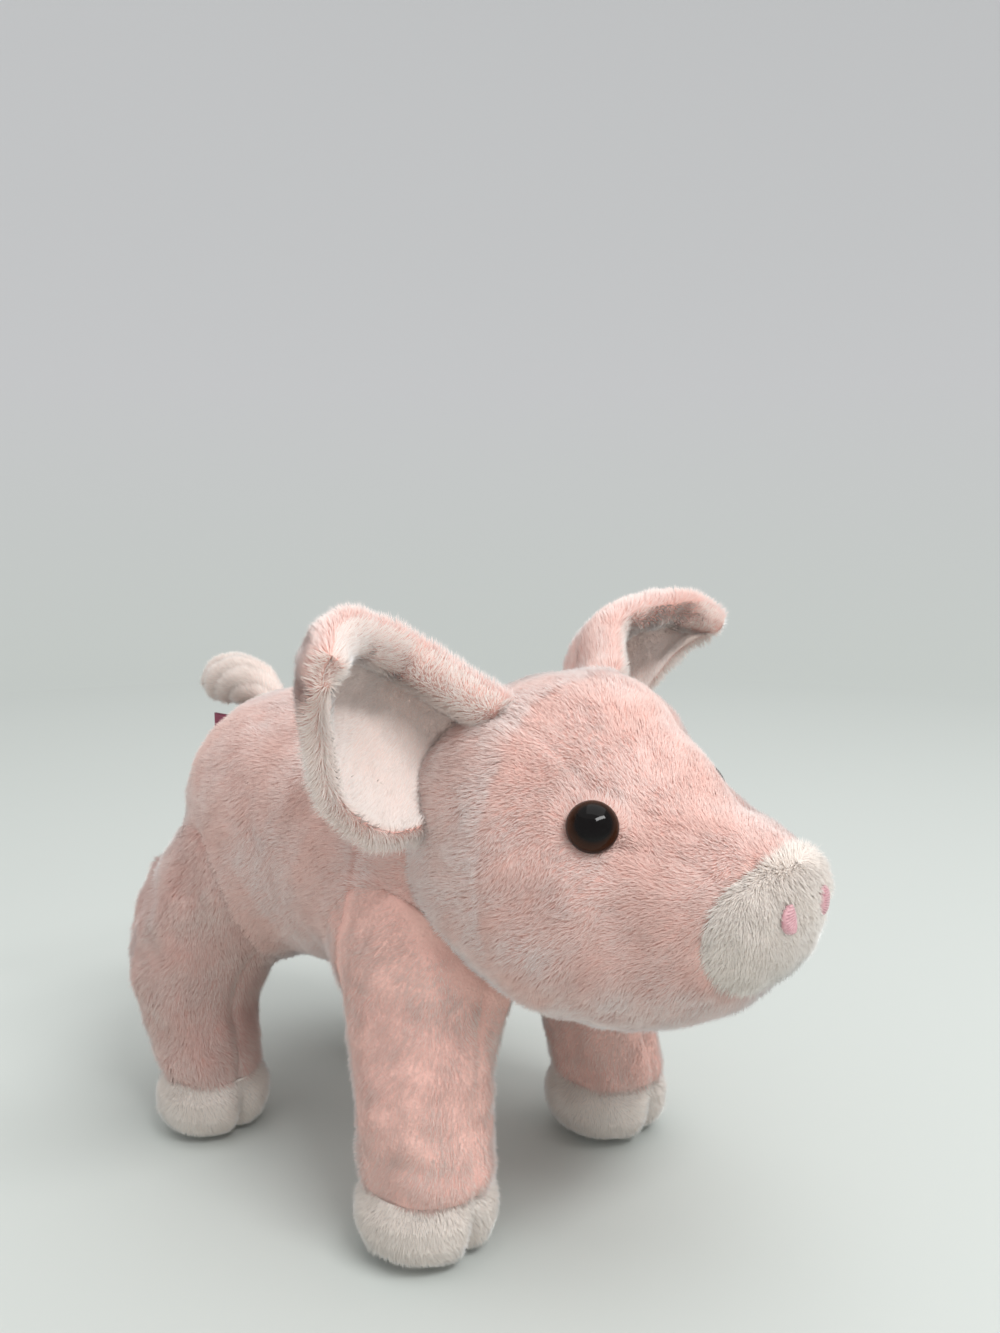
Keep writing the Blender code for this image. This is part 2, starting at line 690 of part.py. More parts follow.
body = Barrel(BODY_SHARES, BODY_LENGTH, BODY_WIDTH, BODY_HEIGHT, RUMP_REACH, BODY_CENTRE_HEIGHT)
head = Barrel(HEAD_SHARES, HEAD_LENGTH, HEAD_WIDTH, HEAD_HEIGHT, NAPE_REACH,
              HEAD_CENTRE_HEIGHT, TEMPLE_SHARE)
head.turn_by(HEAD_ROLL, HEAD_YAW)
body_form, head_form = body.form(18, 26), head.form(22, 28)
body_space = solid("body_space", moved(body_form, GAP))
head_space = solid("head_space", moved(head_form, GAP))

# Body: the cover is open at the neck, where its stuffing reaches into the head
chest = RUMP_REACH - BODY_LENGTH
neck_hole, neck_plug = (
    lathe(name, [(0, 0), (radius, 0), (radius, BODY_LENGTH / 2), (0, BODY_LENGTH / 2)])
    for name, radius in (("neck_hole", NECK_DIAMETER / 2), ("neck_plug", NECK_DIAMETER / 2 - GAP))
)
for tool, start in ((neck_hole, chest - OVERRUN), (neck_plug, chest - OVERRUN)):
    stand(tool, Vector((0, start, BODY_CENTRE_HEIGHT)), Vector((0, 1, 0)))
cut(neck_plug, solid("body_outside", body_form), operation="INTERSECT")
body_cover = shell("body_cover", body_form, PINK)
cut(body_cover, neck_hole)
body_stuffing = solid("body_stuffing", moved(body.form(12, 18), -PLUSH - 2 * GAP), FIBRE)
cut(body_stuffing, neck_plug, operation="UNION")

# Head: its cover parts from the white snout panel at a seam that bows to the rear
head_cover = shell("head_cover", head_form, PINK)
snout_cover = shell("snout_cover", head_form, WHITE)
seam = NAPE_REACH - HEAD_LENGTH + SNOUT_PANEL
snout_zones = []
for name, radius in (("snout_zone", SNOUT_SEAM_RADIUS - GAP / 2),
                     ("snout_clearance", SNOUT_SEAM_RADIUS + GAP / 2)):
    half = HEAD_WIDTH / 2
    zone = lathe(name, [(0, -half), (radius, -half), (radius, half), (0, half)], sides=48)
    stand(zone, Vector((0, seam - SNOUT_SEAM_RADIUS, SNOUT_SEAM_HEIGHT)), Vector((1, 0, 0)))
    snout_zones.append(zone)
head_stuffing = solid("head_stuffing", moved(head.form(14, 20), -PLUSH - 2 * GAP), FIBRE)
cut(head_cover, body_space, snout_zones[1])
cut(head_stuffing, body_space)

for side_name, side in (("right", -1), ("left", 1)):
    leg("front_leg_" + side_name, side, True)
    leg("hind_leg_" + side_name, side, False)
    ear("ear_" + side_name, side)
    eye("eye_" + side_name, side)
    nostril("nostril_" + side_name, side)
cut(snout_cover, snout_zones[0], operation="INTERSECT")
tail()
label()

# The origin is under the middle of the whole pig
bpy.context.view_layer.update()
shown = [o for o in bpy.data.objects if o.type == "MESH" and not o.hide_render]
graph = bpy.context.evaluated_depsgraph_get()
corners = np.array([o.matrix_world @ Vector(c) for o in shown for c in o.evaluated_get(graph).bound_box])
middle = (corners.min(axis=0) + corners.max(axis=0)) / 2
pig.location = (-middle[0], -middle[1], 0)
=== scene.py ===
"""A plush pig of pink pile fabric that stands on white plush hooves.

The sections follow the pig as it is put together: the stage, the stuffed body,
the head with its snout panel, the legs and hooves, the ears, the eyes, the
stitched nostrils, the tail and the ribbon. Metres, +Z up. The pig faces -Y and
its right side is -X.
"""

import math
from collections import namedtuple

import bpy
import numpy as np
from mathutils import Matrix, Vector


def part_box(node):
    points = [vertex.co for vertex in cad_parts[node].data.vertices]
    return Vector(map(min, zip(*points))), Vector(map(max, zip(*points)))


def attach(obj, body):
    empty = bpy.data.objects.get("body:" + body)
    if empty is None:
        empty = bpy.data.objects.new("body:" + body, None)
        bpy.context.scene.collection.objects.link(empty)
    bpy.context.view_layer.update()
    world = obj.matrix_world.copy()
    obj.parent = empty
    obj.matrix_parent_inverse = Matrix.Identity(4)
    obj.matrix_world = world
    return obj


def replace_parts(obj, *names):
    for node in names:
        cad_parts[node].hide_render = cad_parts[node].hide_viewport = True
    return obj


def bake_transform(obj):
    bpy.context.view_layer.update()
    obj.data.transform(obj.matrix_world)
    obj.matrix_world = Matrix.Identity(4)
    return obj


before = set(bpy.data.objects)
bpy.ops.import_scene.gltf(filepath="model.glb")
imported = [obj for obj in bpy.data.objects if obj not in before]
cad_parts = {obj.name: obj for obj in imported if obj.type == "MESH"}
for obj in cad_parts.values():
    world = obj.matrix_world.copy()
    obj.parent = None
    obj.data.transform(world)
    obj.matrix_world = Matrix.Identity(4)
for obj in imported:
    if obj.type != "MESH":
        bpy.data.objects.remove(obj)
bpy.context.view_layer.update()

# The stage: a pale cloth laid flat under the pig and swept up all round it, a
# long lamp in front and above, a wide weaker one overhead, and the camera a
# little above the pig's back, off its right shoulder.

CAMERA_PLACE = (-0.1968, -0.1884, 0.1540)
CAMERA_TURN, CAMERA_DIP = 49.3, 7.0
CAMERA_LENS = 31.06
FLOOR_RADIUS, SWEEP_RADIUS, WALL_HEIGHT, WALL_FADE = 0.90, 0.60, 2.0, 0.35
FLOOR_COLOUR, WALL_COLOUR = (0.57, 0.605, 0.58), (0.60, 0.607, 0.617)
LAMPS = (
    ("tube", (-0.12, -0.66, 0.86), (0.55, 0.14), 5.2),
    ("overhead", (0.12, -0.20, 1.10), (0.90, 0.90), 2.8),
)
LAMP_TARGET, SKY_STRENGTH = (0, 0, 0.06), 0.80


def ring_faces(rows, sides, first=0):
    """Quads between neighbouring rings of points, as rows of vertex numbers."""
    at = first + np.arange(rows * sides).reshape(rows, sides)
    after = np.roll(at, -1, axis=1)
    return np.stack([at[:-1], after[:-1], after[1:], at[1:]], axis=-1).reshape(-1, 4)


def mesh_piece(name, points, faces, materials):
    """A smooth mesh object at the origin from points and faces."""
    mesh = bpy.data.meshes.new(name)
    mesh.from_pydata(np.asarray(points).tolist(), [], [list(map(int, f)) for f in faces])
    mesh.shade_smooth()
    for material in materials:
        mesh.materials.append(material)
    piece = bpy.data.objects.new(name, mesh)
    bpy.context.scene.collection.objects.link(piece)
    return piece


def shader_node(tree, kind, out, setup=(), *values, **inputs):
    """The output of a new shader node. Its inputs, in order or by name with underscores
    for spaces, are linked to other outputs or set to numbers and colours."""
    made = tree.nodes.new("ShaderNode" + kind)
    for label, value in setup:
        setattr(made, label, value)
    named = [(label.replace("_", " "), value) for label, value in inputs.items()]
    for label, value in [*enumerate(values), *named]:
        if isinstance(value, bpy.types.NodeSocket):
            tree.links.new(value, made.inputs[label])
        else:
            made.inputs[label].default_value = value
    return made.outputs[out]


def noise(tree, scale, **more):
    """A noise over the piece, on Object coordinates."""
    place = shader_node(tree, "TexCoord", "Object")
    return shader_node(tree, "TexNoise", "Fac", Vector=place, Scale=scale, **more)


def ranged(tree, value, low, high, to_low=0.0, to_high=1.0):
    """A value drawn from one range to another."""
    return shader_node(tree, "MapRange", "Result", Value=value, From_Min=low, From_Max=high,
                       To_Min=to_low, To_Max=to_high)


def mixed(tree, factor, *colours):
    """One colour mixed into another by a factor. Each is an output or three numbers."""
    first, second = (c if isinstance(c, bpy.types.NodeSocket) else (*c, 1) for c in colours)
    return shader_node(tree, "Mix", "Result", [("data_type", "RGBA")],
                       Factor=factor, A=first, B=second)


def surface(name, roughness, **constants):
    """A Principled material with constants on its shader, and its node tree."""
    made = bpy.data.materials.new(name)
    made.use_nodes = True
    shader = made.node_tree.nodes["Principled BSDF"].inputs
    for label, value in {"Roughness": roughness, **constants}.items():
        shader[label.replace("_", " ")].default_value = value
    return made, made.node_tree


def painted(made, colour, height=None, depth=0.0, strength=1.0):
    """The material with a colour fed to its shader, and a bump where a height is given."""
    tree = made.node_tree
    shader = tree.nodes["Principled BSDF"].inputs
    tree.links.new(colour, shader["Base Color"])
    if height:
        bump = shader_node(tree, "Bump", "Normal", Strength=strength, Distance=depth, Height=height)
        tree.links.new(bump, shader["Normal"])
    return made


def backdrop_material():
    """Matte cloth, lighter on the floor than on the wall, with faint slack folds."""
    made, tree = surface("backdrop_cloth", 0.9)
    place = shader_node(tree, "TexCoord", "Object")
    height = ranged(tree, shader_node(tree, "SeparateXYZ", "Z", (), place), 0, WALL_FADE)
    colour = mixed(tree, height, FLOOR_COLOUR, WALL_COLOUR)
    return painted(made, colour, noise(tree, 3.0, Detail=1.0), 0.02, 0.25)


def full_turn(sides):
    """Angles spread evenly round a circle."""
    return np.linspace(0, math.tau, sides, endpoint=False)


def swept(name, radii, heights):
    """Rings about the Z axis: each has its radius and height."""
    turn = full_turn(96)
    radius, height = np.array(radii)[:, None], np.array(heights)[:, None]
    points = np.stack([radius * np.cos(turn), radius * np.sin(turn), height + 0 * turn], -1)
    faces = ring_faces(len(radii), len(turn))
    made = mesh_piece(name, points.reshape(-1, 3), faces, [cloth_backdrop])
    return made


cloth_backdrop = backdrop_material()
swept("floor", np.linspace(0, FLOOR_RADIUS, 24), np.zeros(24))
bend = np.linspace(0, math.pi / 2, 20)
wall = swept(
    "wall",
    [*(FLOOR_RADIUS + SWEEP_RADIUS * np.sin(bend)), FLOOR_RADIUS + SWEEP_RADIUS],
    [*(SWEEP_RADIUS * (1 - np.cos(bend))), WALL_HEIGHT],
)
wall.visible_shadow = wall.visible_diffuse = False

for name, place, size, power in LAMPS:
    lamp = bpy.data.objects.new(name, bpy.data.lights.new(name, "AREA"))
    lamp.data.shape, lamp.data.energy = "RECTANGLE", power
    lamp.data.size, lamp.data.size_y = size
    lamp.location = place
    away = np.subtract(place, LAMP_TARGET)
    lamp.rotation_euler = (math.atan2(math.hypot(away[0], away[1]), away[2]), 0,
                           math.atan2(away[1], away[0]) + math.pi / 2)
    bpy.context.scene.collection.objects.link(lamp)

sky = bpy.data.worlds.new("sky")
sky.use_nodes = True
sky.node_tree.nodes["Background"].inputs["Color"].default_value = (1, 1, 1, 1)
sky.node_tree.nodes["Background"].inputs["Strength"].default_value = SKY_STRENGTH
bpy.context.scene.world = sky
bpy.context.scene.view_settings.view_transform = "Standard"

camera = bpy.data.objects.new("camera", bpy.data.cameras.new("camera"))
camera.data.lens = CAMERA_LENS
camera.data.clip_start = 0.01
camera.location = CAMERA_PLACE
camera.rotation_euler = (math.radians(90 - CAMERA_DIP), 0, math.radians(-CAMERA_TURN))
bpy.context.scene.collection.objects.link(camera)
bpy.context.scene.camera = camera

# The body: one barrel of pink knitted-back plush from rump to chest, stuffed
# with loose polyester fibre. The skin is the knitted backing under the pile,
# and it is sewn to the head round the neck.

BODY_SHARES = (
    (0.000, 0.00, 0.155, 0.00, 2.0),
    (0.024, 0.50, 0.10, 0.53, 2.1),
    (0.096, 0.81, 0.06, 0.83, 2.2),
    (0.248, 0.97, 0.01, 0.98, 2.2),
    (0.440, 1.00, 0.00, 1.00, 2.1),
    (0.630, 0.97, 0.01, 0.96, 2.1),
    (0.790, 0.91, 0.04, 0.87, 2.1),
    (0.910, 0.75, 0.08, 0.72, 2.1),
    (0.976, 0.47, 0.11, 0.46, 2.0),
    (1.000, 0.00, 0.13, 0.00, 2.0),
)
BODY_LENGTH, BODY_WIDTH, BODY_HEIGHT, BODY_CENTRE = 0.125, 0.072, 0.071, 0.0775
RUMP_REACH = 0.069
BACKING_DEPTH = 0.0017
FILLING_DEPTH, FILLING_TUFTS = 0.0042, 0.0012
CREASE_REACH, CREASE_FADE, CREASE_GAIN = 0.018, 0.003, 1.25
RUMP_SLACK, RUMP_SLACK_RADIUS, RUMP_SLACK_HEIGHT = 0.0055, 0.0220, 0.0180

low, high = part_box("body_cover")
MIDDLE = np.array(((low.x + high.x) / 2, high.y - RUMP_REACH, 0))

Barrel = namedtuple("Barrel", "shares length width height rear centre temples turned pivot")
TEMPLE_SHARE, TEMPLE_REACH = 0.623, 0.18


def through(rows, place, domed=False):
    """A table's row at each place of 0 to 1: a cubic through its rows, whose slope at
    a row is half the step between its neighbours. A domed end has its neighbour
    turned over beyond it, which rounds the pole."""
    rows = np.asarray(rows, float)
    gaps = len(rows) - 1
    turned = np.array([1, -1, 1, -1, 1]) if domed else None
    ends = (rows[1] * turned, rows[-2] * turned) if domed else (rows[0], rows[-1])
    rows = np.concatenate([ends[:1], rows, ends[1:]])
    at = np.clip(place, 0, 1) * gaps
    first = np.minimum(at.astype(int), gaps - 1)
    step = (at - first)[..., None]
    before, here, there, after = (rows[first + k] for k in range(4))
    leaving, arriving = (there - before) / 2, (after - here) / 2
    return (
        (2 * step**3 - 3 * step**2 + 1) * here + (step**3 - 2 * step**2 + step) * leaving
        + (3 * step**2 - 2 * step**3) * there + (step**3 - step**2) * arriving
    )


def bell(away, width=1.0):
    """A bell curve: 1 at no distance, and less to either side."""
    return np.exp(-((away / width) ** 2))


def temples_drawn(form, along, up):
    """The share by which the temples draw the sides in: a bell curve along the length,
    by the square of how high up the side a point lies."""
    return form.temples * bell(along - TEMPLE_SHARE, TEMPLE_REACH) * ((up + 1) / 2) ** 2


def barrel_points(form, place, turn):
    """Upright rounded sections strung along -Y. Each is a superellipse: across is the
    cosine and up the sine of the turn, raised to 2 over the squareness."""
    place, turn = np.broadcast_arrays(np.asarray(place, float), np.asarray(turn, float))
    along, wide, middle, tall, square = np.moveaxis(through(form.shares, place, True), -1, 0)
    across, up = (
        np.sign(value) * np.abs(value) ** (2 / square) for value in (np.cos(turn), np.sin(turn))
    )
    side = form.width / 2 * np.maximum(wide, 0) * across * (1 - temples_drawn(form, along, up))
    rise = form.height / 2 * (middle + np.maximum(tall, 0) * up)
    points = np.stack([side, form.rear - along * form.length, form.centre + rise], -1)
    return (points - form.pivot) @ form.turned.T + form.pivot + MIDDLE


def place_at(form, share):
    """The place in the table at a share of the form's length."""
    places = np.linspace(0, 1, 2001)
    return np.interp(share, through(form.shares, places, True)[:, 0], places)


def fullness(form, points):
    """How far out in its section each point lies: 1 on the skin, less inside."""
    points = (points - MIDDLE - form.pivot) @ form.turned + form.pivot
    along = (form.rear - points[..., 1]) / form.length
    row = through(form.shares, place_at(form, np.clip(along, 0, 1)), True)
    up = (points[..., 2] - form.centre) / (form.height / 2) - row[..., 2]
    up = up / np.maximum(row[..., 3], 0.02)
    drawn = temples_drawn(form, along, np.clip(up, -1, 1))
    side = points[..., 0] / (form.width / 2 * np.maximum(row[..., 1], 0.02) * (1 - drawn))
    square = row[..., 4]
    beyond = np.maximum(along - 1, 0) + np.maximum(-along, 0)
    return (np.abs(side) ** square + np.abs(up) ** square) ** (1 / square) + 50 * beyond


def steepest(distance, points, small=2e-4):
    """The slope of a distance at each point, from small steps along X, Y and Z."""
    return np.stack([(distance(points + step) - distance(points - step)) / (2 * small)
                     for step in np.eye(3) * small], -1)


def distance_out(form, points):
    """About how far each point lies outside the skin: fullness past 1 over its slope."""
    slope = steepest(lambda where: fullness(form, where), points)
    return (fullness(form, points) - 1) / np.maximum(np.linalg.norm(slope, axis=-1), 5)


def unit(vectors):
    return vectors / np.maximum(np.linalg.norm(vectors, axis=-1, keepdims=True), 1e-12)


def outward(rings):
    """Normals of rings of points that close round: along crossed with around."""
    around = np.roll(rings, -1, axis=1) - np.roll(rings, 1, axis=1)
    out = unit(np.cross(around, np.gradient(rings, axis=0)))
    return out * np.sign((out * (rings - rings.mean(axis=1, keepdims=True))).sum())


def ripple(points, size, seed):
    """A smooth random height, about -1 to 1: sixteen sine waves of about that size
    that run in random directions."""
    made = np.random.default_rng(seed)
    waves = unit(made.normal(size=(16, 3))) * (math.tau / size) * made.uniform(0.6, 1.4, (16, 1))
    phase = made.uniform(0, math.tau, 16)
    return np.sin(points @ waves.T + phase).sum(-1) / math.sqrt(16) / 1.1


def ripples(points, *waves):
    """Ripples added up. Each has its height, its size and its seed."""
    return sum(height * ripple(points, size, seed) for height, size, seed in waves)


def closed_skin(name, rings, materials, start=None, end=None):
    """Rings of points joined by faces that look outwards, with a fan of faces to each
    end point that is given."""
    rows, sides = rings.shape[:2]
    points, faces = [rings.reshape(-1, 3)], list(ring_faces(rows, sides))
    here = np.arange(sides)
    for pole, ring, forward in ((start, 0, -1), (end, rows - 1, 1)):
        if pole is not None:
            number = sum(len(p) for p in points)
            points.append(np.array(pole)[None])
            edge = ring * sides + here
            pairs = np.stack([edge, np.roll(edge, -1), np.full(sides, number)], -1)
            faces += list(pairs[:, ::forward])
    flip = (outward(rings) * np.cross(
        np.roll(rings, -1, 1) - rings, np.roll(rings, -1, 0) - rings)).sum() < 0
    if flip:
        faces = [face[::-1] for face in faces]
    return mesh_piece(name, np.concatenate(points), faces, materials)


def effect(name, inputs, outputs):
    """An empty shader node group with its named inputs and outputs."""
    group = bpy.data.node_groups.new(name, "ShaderNodeTree")
    for in_out, sockets in (("INPUT", inputs), ("OUTPUT", outputs)):
        for label, kind in sockets:
            group.interface.new_socket(label, in_out=in_out, socket_type="NodeSocket" + kind)
    given = group.nodes.new("NodeGroupInput").outputs
    return group, given, group.nodes.new("NodeGroupOutput").inputs


def knit_effect():
    """The knitted backing: rows of small loops, and uneven dye."""
    group, given, out = effect("knit", [("Ground", "Color"), ("Shade", "Color")],
                               [("Colour", "Color"), ("Height", "Float")])
    dye = ranged(group, noise(group, 120, Detail=3), 0.35, 0.65)
    group.links.new(mixed(group, dye, given["Ground"], given["Shade"]), out["Colour"])
    place = shader_node(group, "TexCoord", "Object")
    loops = shader_node(group, "TexVoronoi", "Distance", Vector=place, Scale=1400)
    group.links.new(loops, out["Height"])
    return group


def cloth_material(name, ground, shade):
    """Knitted backing cloth of a colour and its shade."""
    made, tree = surface(name, 0.95)
    knit = shader_node(tree, "Group", "Colour", [("node_tree", knit_group)],
                       Ground=(*ground, 1), Shade=(*shade, 1))
    return painted(made, knit, knit.node.outputs["Height"], 0.0002, 0.6)


def fibre_material():
    """Loose white polyester fibre: a tangle of streaks, matte."""
    made, tree = surface("filling_fibre", 1.0)
    tangle = noise(tree, 400, Detail=6, Distortion=3)
    return painted(made, mixed(tree, tangle, (0.80, 0.80, 0.78), (0.92, 0.92, 0.91)), tangle, 0.001)


knit_group = knit_effect()
PINK_BACKING = cloth_material("pink_backing", (0.84, 0.52, 0.45), (0.77, 0.45, 0.39))
WHITE_BACKING = cloth_material("white_backing", (0.84, 0.78, 0.73), (0.77, 0.70, 0.65))
FIBRE = fibre_material()

body = Barrel(BODY_SHARES, BODY_LENGTH, BODY_WIDTH, BODY_HEIGHT, RUMP_REACH, BODY_CENTRE, 0.0,
              np.eye(3), np.zeros(3))

# The forms of the legs and the head, which shape the body's creases and its cover.
STANCE_WIDTH, HOOF_HEIGHT = 0.066, 0.0155
SEAM_GAP = 0.0003
FRONT_LEG_SHARES = (
    (0.00, 0.00, 0.00, 0.0),
    (0.12, 0.03, -0.03, 0.0),
    (0.33, 0.15, 0.18, 0.5),
    (0.54, 0.38, 0.58, 1.0),
    (0.77, 0.70, 1.00, 0.5),
    (1.00, 1.00, 0.50, 0.0),
)
HIND_LEG_SHARES = (
    (0.00, 0.00, 0.00, 0.00),
    (0.15, 0.05, 0.10, 0.55),
    (0.36, 0.18, 0.60, 1.10),
    (0.54, 0.42, 0.90, 1.00),
    (0.77, 0.70, 1.00, 0.50),
    (1.00, 1.00, 0.70, 0.00),
)

SIDES = (("right", -1), ("left", 1))
Leg = namedtuple("Leg", "side shares foot hip_x hip_y ankle thigh bow")
LEGS = {
    f"{end}_leg_{side_name}": Leg(side, *sizes)
    for side_name, side in SIDES
    for end, sizes in (
        ("front", (FRONT_LEG_SHARES, -0.037, 0.016, -0.020, 0.0300, 0.0390, 0.0010)),
        ("hind", (HIND_LEG_SHARES, 0.040, 0.016, 0.043, 0.0275, 0.0400, 0.0080)),
    )
}
LEG_SEAM = HOOF_HEIGHT + SEAM_GAP / 2


def leg_line(leg, place):
    """The leg's middle line and its radius at a place from the hoof's seam to the hip."""
    rise, lean, thick, bowed = np.moveaxis(through(leg.shares, np.asarray(place, float)), -1, 0)
    x = leg.side * (STANCE_WIDTH / 2 + (leg.hip_x - STANCE_WIDTH / 2) * lean)
    y = leg.foot + (leg.hip_y - leg.foot) * lean + leg.bow * bowed
    z = LEG_SEAM + (BODY_CENTRE - LEG_SEAM) * rise
    return np.stack([x, y, z], -1) + MIDDLE, (leg.ankle + (leg.thigh - leg.ankle) * thick) / 2


def leg_distance(leg, points):
    """How far each point lies outside the leg's circle at its own height. Above the
    hip the leg ends in a dome."""
    places = np.linspace(0, 1, 200)
    centres, radii = leg_line(leg, places)
    centre, radius = leg_line(leg, np.interp(points[..., 2], centres[:, 2], places))
    apart = points - centre
    apart[..., 2] = np.maximum(apart[..., 2], 0)
    return np.linalg.norm(apart, axis=-1) - radius


def legs_away(points):
    """How far each point lies outside the nearest leg."""
    return np.min([leg_distance(leg, points) for leg in LEGS.values()], axis=0)


def joined(points, depth):
    """Moves points of the body or a leg onto the skin that they share, sunk by a
    depth. Stuffing fills the crease between the two: by a quarter of its reach where
    both lie equally near, by the square of what is left of the reach beside that, and
    by less where their skins run alike."""
    def body_away(where):
        return distance_out(body, where)

    inside = np.clip(1 + (legs_away(points) + depth) / CREASE_FADE, 0, 1)
    likeness = (unit(steepest(legs_away, points)) * unit(steepest(body_away, points))).sum(-1)
    filled = np.clip(CREASE_GAIN * (1 - likeness), 0, 1) * inside

    def outside(where):
        apart = np.abs(body_away(where) - legs_away(where))
        fill = np.maximum(CREASE_REACH - apart, 0) ** 2 / (4 * CREASE_REACH)
        return np.minimum(body_away(where), legs_away(where)) - filled * fill + depth

    start = points
    for _ in range(4):
        slope = steepest(outside, points)
        step = outside(points) / np.maximum((slope**2).sum(-1), 0.25)
        points = points - slope * np.clip(step, -0.002, 0.002)[..., None]
    return start + (points - start) * (inside * (filled > 0))[..., None]


HEAD_SHARES = (
    (0.000, 0.00, 0.03, 0.00, 2.0),
    (0.034, 0.51, 0.02, 0.57, 2.1),
    (0.123, 0.79, 0.05, 0.80, 2.2),
    (0.279, 0.96, 0.04, 0.96, 2.2),
    (0.447, 1.00, 0.00, 1.01, 2.3),
    (0.592, 0.87, -0.15, 0.86, 2.3),
    (0.726, 0.70, -0.25, 0.68, 2.3),
    (0.838, 0.58, -0.24, 0.54, 2.3),
    (0.914, 0.49, -0.19, 0.42, 2.2),
    (0.957, 0.42, -0.16, 0.34, 2.2),
    (0.986, 0.29, -0.14, 0.22, 2.1),
    (1.000, 0.00, -0.14, 0.00, 2.0),
)
HEAD_LENGTH, HEAD_WIDTH, HEAD_HEIGHT, HEAD_CENTRE = 0.0915, 0.078, 0.072, 0.086
NAPE_REACH, TEMPLES = -0.017, 0.24
HEAD_ROLL, HEAD_YAW = math.radians(-3), math.radians(-1.5)

roll = np.array(((math.cos(HEAD_ROLL), 0, math.sin(HEAD_ROLL)), (0, 1, 0),
                 (-math.sin(HEAD_ROLL), 0, math.cos(HEAD_ROLL))))
yaw = np.array(((math.cos(HEAD_YAW), -math.sin(HEAD_YAW), 0),
                (math.sin(HEAD_YAW), math.cos(HEAD_YAW), 0), (0, 0, 1)))
head = Barrel(HEAD_SHARES, HEAD_LENGTH, HEAD_WIDTH, HEAD_HEIGHT, NAPE_REACH, HEAD_CENTRE, TEMPLES,
              yaw @ roll, np.array((0, NAPE_REACH - HEAD_LENGTH / 2, HEAD_CENTRE)))


def rump_slack(points):
    """How far the rump falls in under the tail: a bell curve, wider across, round a
    place above the middle of the rump."""
    place = MIDDLE + (0, RUMP_REACH, BODY_CENTRE + RUMP_SLACK_HEIGHT)
    away = np.linalg.norm((points - place) * (0.6, 1, 1), axis=-1)
    return RUMP_SLACK * bell(away, RUMP_SLACK_RADIUS)


FIRST_RING, LAST_RING = 12.0, 0.98
BODY_SLACK = ((0.0005, 0.020, 3), (0.00015, 0.008, 4))


def body_rings(rows, sides, depth):
    """The body's rings moved in by a depth and out beside the legs, and their normals."""
    place = np.linspace(FIRST_RING * depth, LAST_RING, rows)[:, None]
    rings = barrel_points(body, place, full_turn(sides))
    rings = joined(rings - outward(rings) * depth, depth)
    normals = outward(rings)
    rings = rings - normals * rump_slack(rings)[..., None]
    return rings + normals * ripples(rings, *BODY_SLACK)[..., None], normals


def ends_of(form, depth):
    """The two poles of a barrel, moved in by a depth."""
    start, end = barrel_points(form, 0.0, 0.0), barrel_points(form, 1.0, 0.0)
    spine = unit(end - start)
    return start + spine * (depth + rump_slack(start)), end - spine * depth


body_surface = body_rings(130, 180, BACKING_DEPTH)
body_skin = closed_skin("body_backing", body_surface[0], [PINK_BACKING],
                        *ends_of(body, BACKING_DEPTH))
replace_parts(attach(body_skin, "pig"), "body_cover")


def tufted(rings, normals):
    """Loose filling: the rings with uneven tufts that only reach inwards."""
    tufts = 0.5 + 0.5 * ripple(rings, 0.009, 8) + 0.3 * ripple(rings, 0.004, 9)
    return rings - normals * (FILLING_TUFTS * np.clip(tufts, 0, 1.2))[..., None]


body_filling = closed_skin("body_filling", tufted(*body_rings(60, 72, FILLING_DEPTH)), [FIBRE],
                           *ends_of(body, FILLING_DEPTH))
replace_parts(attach(body_filling, "pig"), "body_stuffing")

# The head: a round ball of pink plush that draws out into the snout, tipped a
# little to the right. Its cover ends at the neck, where it is sewn to the body,
# and at the seam of the white snout panel, which is sewn on in front.

SNOUT_PANEL, SNOUT_SEAM_RADIUS, SNOUT_SEAM_HEIGHT = 0.0120, 0.026, 0.0775
EYE_SHARE, EYE_TURN, EYE_RADIUS = 0.623, math.radians(36), 0.00525
EYE_DIMPLE_DEPTH, EYE_DIMPLE_RADIUS = 0.0024, 0.0085


def first_crossing(outside, places):
    """For each line of points, the place where it first stops being outside: the
    values fall along the first axis and are read between the two that straddle 0."""
    inside = outside < 0
    hit = np.where(inside.any(0), inside.argmax(0), len(places) - 1)
    hit = np.maximum(hit, 1)
    line = np.arange(outside.shape[1])
    over, under = outside[hit - 1, line], outside[hit, line]
    share = np.clip(over / np.maximum(over - under, 1e-9), 0, 1)
    return places[hit - 1] + (places[hit] - places[hit - 1]) * share


def head_lines(sides, depth):
    """For each turn round the head, the places of its neck edge and its snout seam."""
    turn = full_turn(sides)
    places = np.linspace(0.995, 0.02, 400)
    points = barrel_points(head, places[:, None], turn)
    neck = first_crossing(distance_out(body, points) + depth, places)
    axis = MIDDLE + (
        0, NAPE_REACH - HEAD_LENGTH + SNOUT_PANEL - SNOUT_SEAM_RADIUS, SNOUT_SEAM_HEIGHT)
    reach = np.hypot(points[..., 1] - axis[1], points[..., 2] - axis[2])
    return turn, neck, first_crossing(SNOUT_SEAM_RADIUS - reach, places)


STEP = 1e-4


def steps_of(form, place, turn):
    """How far a point moves on a barrel for a small step either way, along and around."""
    along = barrel_points(form, place + STEP, turn) - barrel_points(form, place - STEP, turn)
    around = barrel_points(form, place, turn + STEP) - barrel_points(form, place, turn - STEP)
    return along, around


def point_and_normal(form, place, turn):
    """A point on a barrel and its outward normal."""
    along, around = steps_of(form, place, turn)
    return barrel_points(form, place, turn), unit(np.cross(around, along))


def turned_to(side, turn):
    """A turn round the head's section on its left, or the same turn on its right."""
    return turn if side > 0 else math.pi - turn


